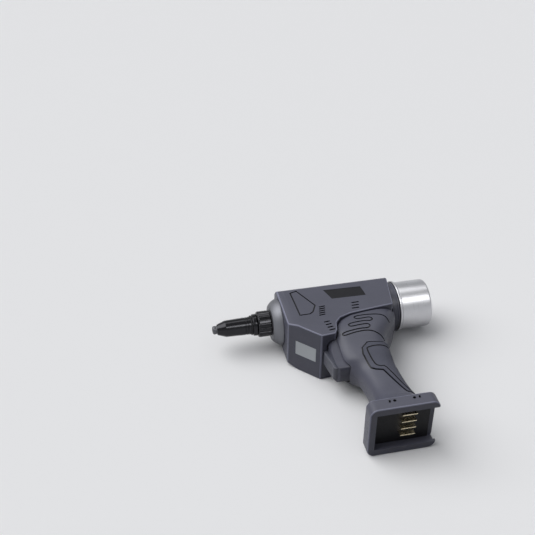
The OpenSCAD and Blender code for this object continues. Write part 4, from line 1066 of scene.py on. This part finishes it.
class RIVET_OT_name_plates(bpy.types.Operator):
    """Models the bare plate on each side"""

    bl_idname = "rivet_tool.name_plates"
    bl_label = "Name plates"

    def execute(self, context):
        plate = slab("left_plate", PLATE_OUTLINE, HALF_WIDTH - PLATE_BED, HALF_WIDTH - PLATE_SUNK)
        round_edges(plate, 0.25, 2)
        other = mirrored(plate, "right_plate")
        for piece, node in ((plate, "left_name_plate"), (other, "right_name_plate")):
            shade(piece)
            hand_over(piece, "tool", "name_plate", node)
        return {"FINISHED"}


# Nose


class RIVET_OT_front_ring(bpy.types.Operator):
    """Models the metal ring at the front of the body"""

    bl_idname = "rivet_tool.front_ring"
    bl_label = "Front ring"

    def execute(self, context):
        ring = turned("front_ring_metal", FRONT_RING_PROFILE, sizes().turn_steps)
        shade(ring)
        hand_over(ring, "tool", "satin_metal", "front_ring")
        return {"FINISHED"}


class RIVET_OT_lock_nut(bpy.types.Operator):
    """Models the ribbed nut that holds the barrel"""

    bl_idname = "rivet_tool.lock_nut"
    bl_label = "Lock nut"

    def execute(self, context):
        ribs = sizes().nut_ribs
        nut = turned("lock_nut_steel", LOCK_NUT_PROFILE, ribs * 6)
        for middle in circle(RIB_CIRCLE, ribs):
            cut(nut, rod("rib_groove", *RIB_GROOVE, 12, middle))
        shade(nut, 30)
        hand_over(nut, "tool", "black_steel", "lock_nut")
        return {"FINISHED"}


class RIVET_OT_nose(bpy.types.Operator):
    """Models the barrel, its seal ring and the nosepiece"""

    bl_idname = "rivet_tool.nose"
    bl_label = "Nose"

    def execute(self, context):
        steps = sizes().turn_steps
        barrel = turned("barrel_steel", BARREL_PROFILE, steps)
        shade(barrel)
        hand_over(barrel, "tool", "black_steel", "nose_barrel")
        tip = turned("nosepiece_steel", NOSEPIECE_PROFILE, steps)
        shade(tip)
        hand_over(tip, "tool", "black_steel", "nosepiece", look="tip_steel")
        seal = turned("barrel_seal", circle(SEAL_WIRE_RADIUS, 16, SEAL_PLACE), steps)
        shade(seal, 60, weighted=False)
        hand_over(seal, "tool", "seal_rubber", "nose_o_ring")
        return {"FINISHED"}


# Rear


class RIVET_OT_collector(bpy.types.Operator):
    """Models the mandrel collector and the collar that it is pushed on"""

    bl_idname = "rivet_tool.collector"
    bl_label = "Collector"

    def execute(self, context):
        steps = sizes().turn_steps + sizes().turn_steps // 3
        collector = turned("collector_can", COLLECTOR_PROFILE, steps)
        shade(collector)
        hand_over(collector, "collector", "collector_metal", "mandrel_collector")
        collar = turned("rear_collar_ring", COLLAR_PROFILE, steps)
        shade(collar)
        hand_over(collar, "tool", "housing_plastic", "rear_collar")
        return {"FINISHED"}


# Trigger, light and foot


class RIVET_OT_trigger(bpy.types.Operator):
    """Models the trigger with its rounded finger face"""

    bl_idname = "rivet_tool.trigger"
    bl_label = "Trigger"

    def execute(self, context):
        trigger = slab("trigger_key", TRIGGER_OUTLINE, -TRIGGER_HALF_WIDTH, TRIGGER_HALF_WIDTH)
        round_edges(trigger, TRIGGER_ROUND, 5)
        combine(trigger, box("flange", *TRIGGER_FLANGE), "UNION")
        cut(trigger, rod("plunger_bore", *PLUNGER_BORE, 32, (PLUNGER_HEIGHT, 0)))
        shade(trigger)
        hand_over(trigger, "trigger", "black_plastic", "trigger", look="trigger_plastic")
        return {"FINISHED"}


class RIVET_OT_work_light(bpy.types.Operator):
    """Models the lens of the work light in the slope of the belly"""

    bl_idname = "rivet_tool.work_light"
    bl_label = "Work light"

    def execute(self, context):
        lens = copy_node("light_lens", "work_light_lens")
        round_edges(lens, 0.2, 2)
        shade(lens)
        hand_over(lens, "tool", "lens", "light_lens")
        return {"FINISHED"}


class RIVET_OT_battery_foot(bpy.types.Operator):
    """Models the shoe in the battery channel and the four contacts"""

    bl_idname = "rivet_tool.battery_foot"
    bl_label = "Battery foot"

    def execute(self, context):
        shoe = copy_node("battery_shoe", "contact_shoe")
        round_edges(shoe, 0.25, 2)
        shade(shoe)
        hand_over(shoe, "tool", "black_plastic", "battery_shoe")
        contacts = copy_node("battery_contacts", "contact_blades")
        round_edges(contacts, 0.18, 2)
        shade(contacts)
        hand_over(contacts, "tool", "contact_brass", "battery_contacts")
        return {"FINISHED"}


class RIVET_OT_inside(bpy.types.Operator):
    """Gives the solids that stay as they are the finish of their slot"""

    bl_idname = "rivet_tool.inside"
    bl_label = "Inside"

    def execute(self, context):
        for subpart in frame["record"]["subparts"]:
            node = frame["nodes"][subpart["node"]]
            if node.hide_render:
                continue
            node.data.materials.clear()
            node.data.materials.append(material_of(subpart["material_slot"]))
        return {"FINISHED"}


# Stage


def seen_directly(tree):
    """A factor that is 1 for what the camera, mirrors and glass see, and 0 for scattered light."""
    path = tree.nodes.new("ShaderNodeLightPath")
    total = None
    for name in ("Is Camera Ray", "Is Glossy Ray", "Is Transmission Ray"):
        if total is None:
            total = path.outputs[name]
            continue
        node = tree.nodes.new("ShaderNodeMath")
        node.operation = "MAXIMUM"
        tree.links.new(total, node.inputs[0])
        tree.links.new(path.outputs[name], node.inputs[1])
        total = node.outputs[0]
    return total


def floor_paint(stage):
    """Pale paint that throws back less light than it shows."""
    paint = Finish("floor_paint", tuple(stage.floor_colour), roughness=0.85)
    paint.shader.inputs["Specular IOR Level"].default_value = 0.1
    mix = paint.add("ShaderNodeMix", data_type="RGBA")
    mix.inputs[COLOUR_A].default_value = (*stage.floor_bounce, 1)
    mix.inputs[COLOUR_B].default_value = (*stage.floor_colour, 1)
    paint.link(seen_directly(paint.tree), mix.inputs["Factor"])
    paint.link(mix.outputs[COLOUR_RESULT], paint.shader.inputs["Base Color"])
    return paint.material


def make_world(stage):
    """A room that is pale where it is seen and dimmer where it only lights."""
    world = bpy.data.worlds.new("soft_room")
    world.use_nodes = True
    tree = world.node_tree
    background = tree.nodes["Background"]
    background.inputs["Color"].default_value = SKY_COLOUR
    coordinates = tree.nodes.new("ShaderNodeTexCoord")
    split = tree.nodes.new("ShaderNodeSeparateXYZ")
    strength = tree.nodes.new("ShaderNodeMix")
    tree.links.new(coordinates.outputs["Generated"], split.inputs["Vector"])
    tree.links.new(seen_directly(tree), strength.inputs["Factor"])
    for socket, heights, strengths in (
            (NUMBER_A, LIGHT_HEIGHTS, (LIGHT_LOW_STRENGTH, stage.world_strength)),
            (NUMBER_B, SEEN_HEIGHTS, SEEN_STRENGTHS)):
        rise = tree.nodes.new("ShaderNodeMapRange")
        rise.inputs["From Min"].default_value = heights[0]
        rise.inputs["From Max"].default_value = heights[1]
        rise.inputs["To Min"].default_value = strengths[0]
        rise.inputs["To Max"].default_value = strengths[1]
        tree.links.new(split.outputs["Z"], rise.inputs["Value"])
        tree.links.new(rise.outputs["Result"], strength.inputs[socket])
    tree.links.new(strength.outputs[NUMBER_RESULT], background.inputs["Strength"])
    return world


def aim(lamp, towards):
    lamp.rotation_euler = (Vector(towards) - lamp.location).to_track_quat("-Z", "Y").to_euler()


class RIVET_OT_stage(bpy.types.Operator):
    """Makes the floor, the lights and the camera"""

    bl_idname = "rivet_tool.stage"
    bl_label = "Stage"

    def execute(self, context):
        scene = context.scene
        stage = scene.rivet_tool_stage
        deselect()
        bpy.ops.mesh.primitive_plane_add(size=FLOOR_SIZE)
        floor = context.object
        floor.name = "floor"
        floor.data.materials.append(floor_paint(stage))
        deselect()
        bpy.ops.object.light_add(type="SUN", location=OVERHEAD_PLACE)
        overhead = context.object
        overhead.name = "overhead_light"
        overhead.data.energy = stage.overhead_strength
        overhead.data.angle = OVERHEAD_SPREAD
        aim(overhead, (0, 0, 0))
        for name, location, power in (("front_panel", FRONT_PANEL_PLACE, stage.front_panel_power),
                                      ("rear_panel", REAR_PANEL_PLACE, stage.rear_panel_power)):
            deselect()
            bpy.ops.object.light_add(type="AREA", location=location)
            panel = context.object
            panel.name = name
            panel.data.shape = "RECTANGLE"
            panel.data.size = PANEL_LENGTH
            panel.data.size_y = PANEL_WIDTH
            panel.data.energy = power
            panel.visible_diffuse = False
            aim(panel, PANEL_TARGET)
        scene.world = make_world(stage)
        deselect()
        bpy.ops.object.camera_add(location=CAMERA_PLACE)
        camera = context.object
        camera.name = "photo_camera"
        camera.data.sensor_width = SENSOR_WIDTH
        camera.data.lens = SENSOR_WIDTH * FOCAL_PIXELS / PICTURE_PIXELS
        camera.rotation_euler = Vector(CAMERA_WAY).to_track_quat("-Z", "Y").to_euler()
        scene.camera = camera
        scene.view_settings.view_transform = "Standard"
        return {"FINISHED"}


class RIVET_PT_panel(bpy.types.Panel):
    """The steps and settings of the rivet tool"""

    bl_idname = "RIVET_PT_panel"
    bl_label = "Rivet Tool"
    bl_space_type = "VIEW_3D"
    bl_region_type = "UI"
    bl_category = "Rivet Tool"

    def draw(self, context):
        scene = context.scene
        for group in (scene.rivet_tool_sizes, scene.rivet_tool_colours, scene.rivet_tool_stage):
            box_layout = self.layout.box()
            for name in group.__annotations__:
                box_layout.prop(group, name)
        for operator in OPERATORS:
            self.layout.operator(operator.bl_idname)


OPERATORS = (
    RIVET_OT_housing,
    RIVET_OT_back_grip,
    RIVET_OT_name_plates,
    RIVET_OT_front_ring,
    RIVET_OT_lock_nut,
    RIVET_OT_nose,
    RIVET_OT_collector,
    RIVET_OT_trigger,
    RIVET_OT_work_light,
    RIVET_OT_battery_foot,
    RIVET_OT_inside,
    RIVET_OT_stage,
)
CLASSES = (RivetToolSizes, RivetToolColours, RivetToolStage, *OPERATORS, RIVET_PT_panel)


def register():
    for cls in CLASSES:
        bpy.utils.register_class(cls)
    bpy.types.Scene.rivet_tool_sizes = PointerProperty(type=RivetToolSizes)
    bpy.types.Scene.rivet_tool_colours = PointerProperty(type=RivetToolColours)
    bpy.types.Scene.rivet_tool_stage = PointerProperty(type=RivetToolStage)


def unregister():
    del bpy.types.Scene.rivet_tool_stage
    del bpy.types.Scene.rivet_tool_colours
    del bpy.types.Scene.rivet_tool_sizes
    for cls in reversed(CLASSES):
        bpy.utils.unregister_class(cls)


def main():
    register()
    for operator in OPERATORS:
        group, name = operator.bl_idname.split(".")
        getattr(getattr(bpy.ops, group), name)()


if __name__ == "__main__":
    main()
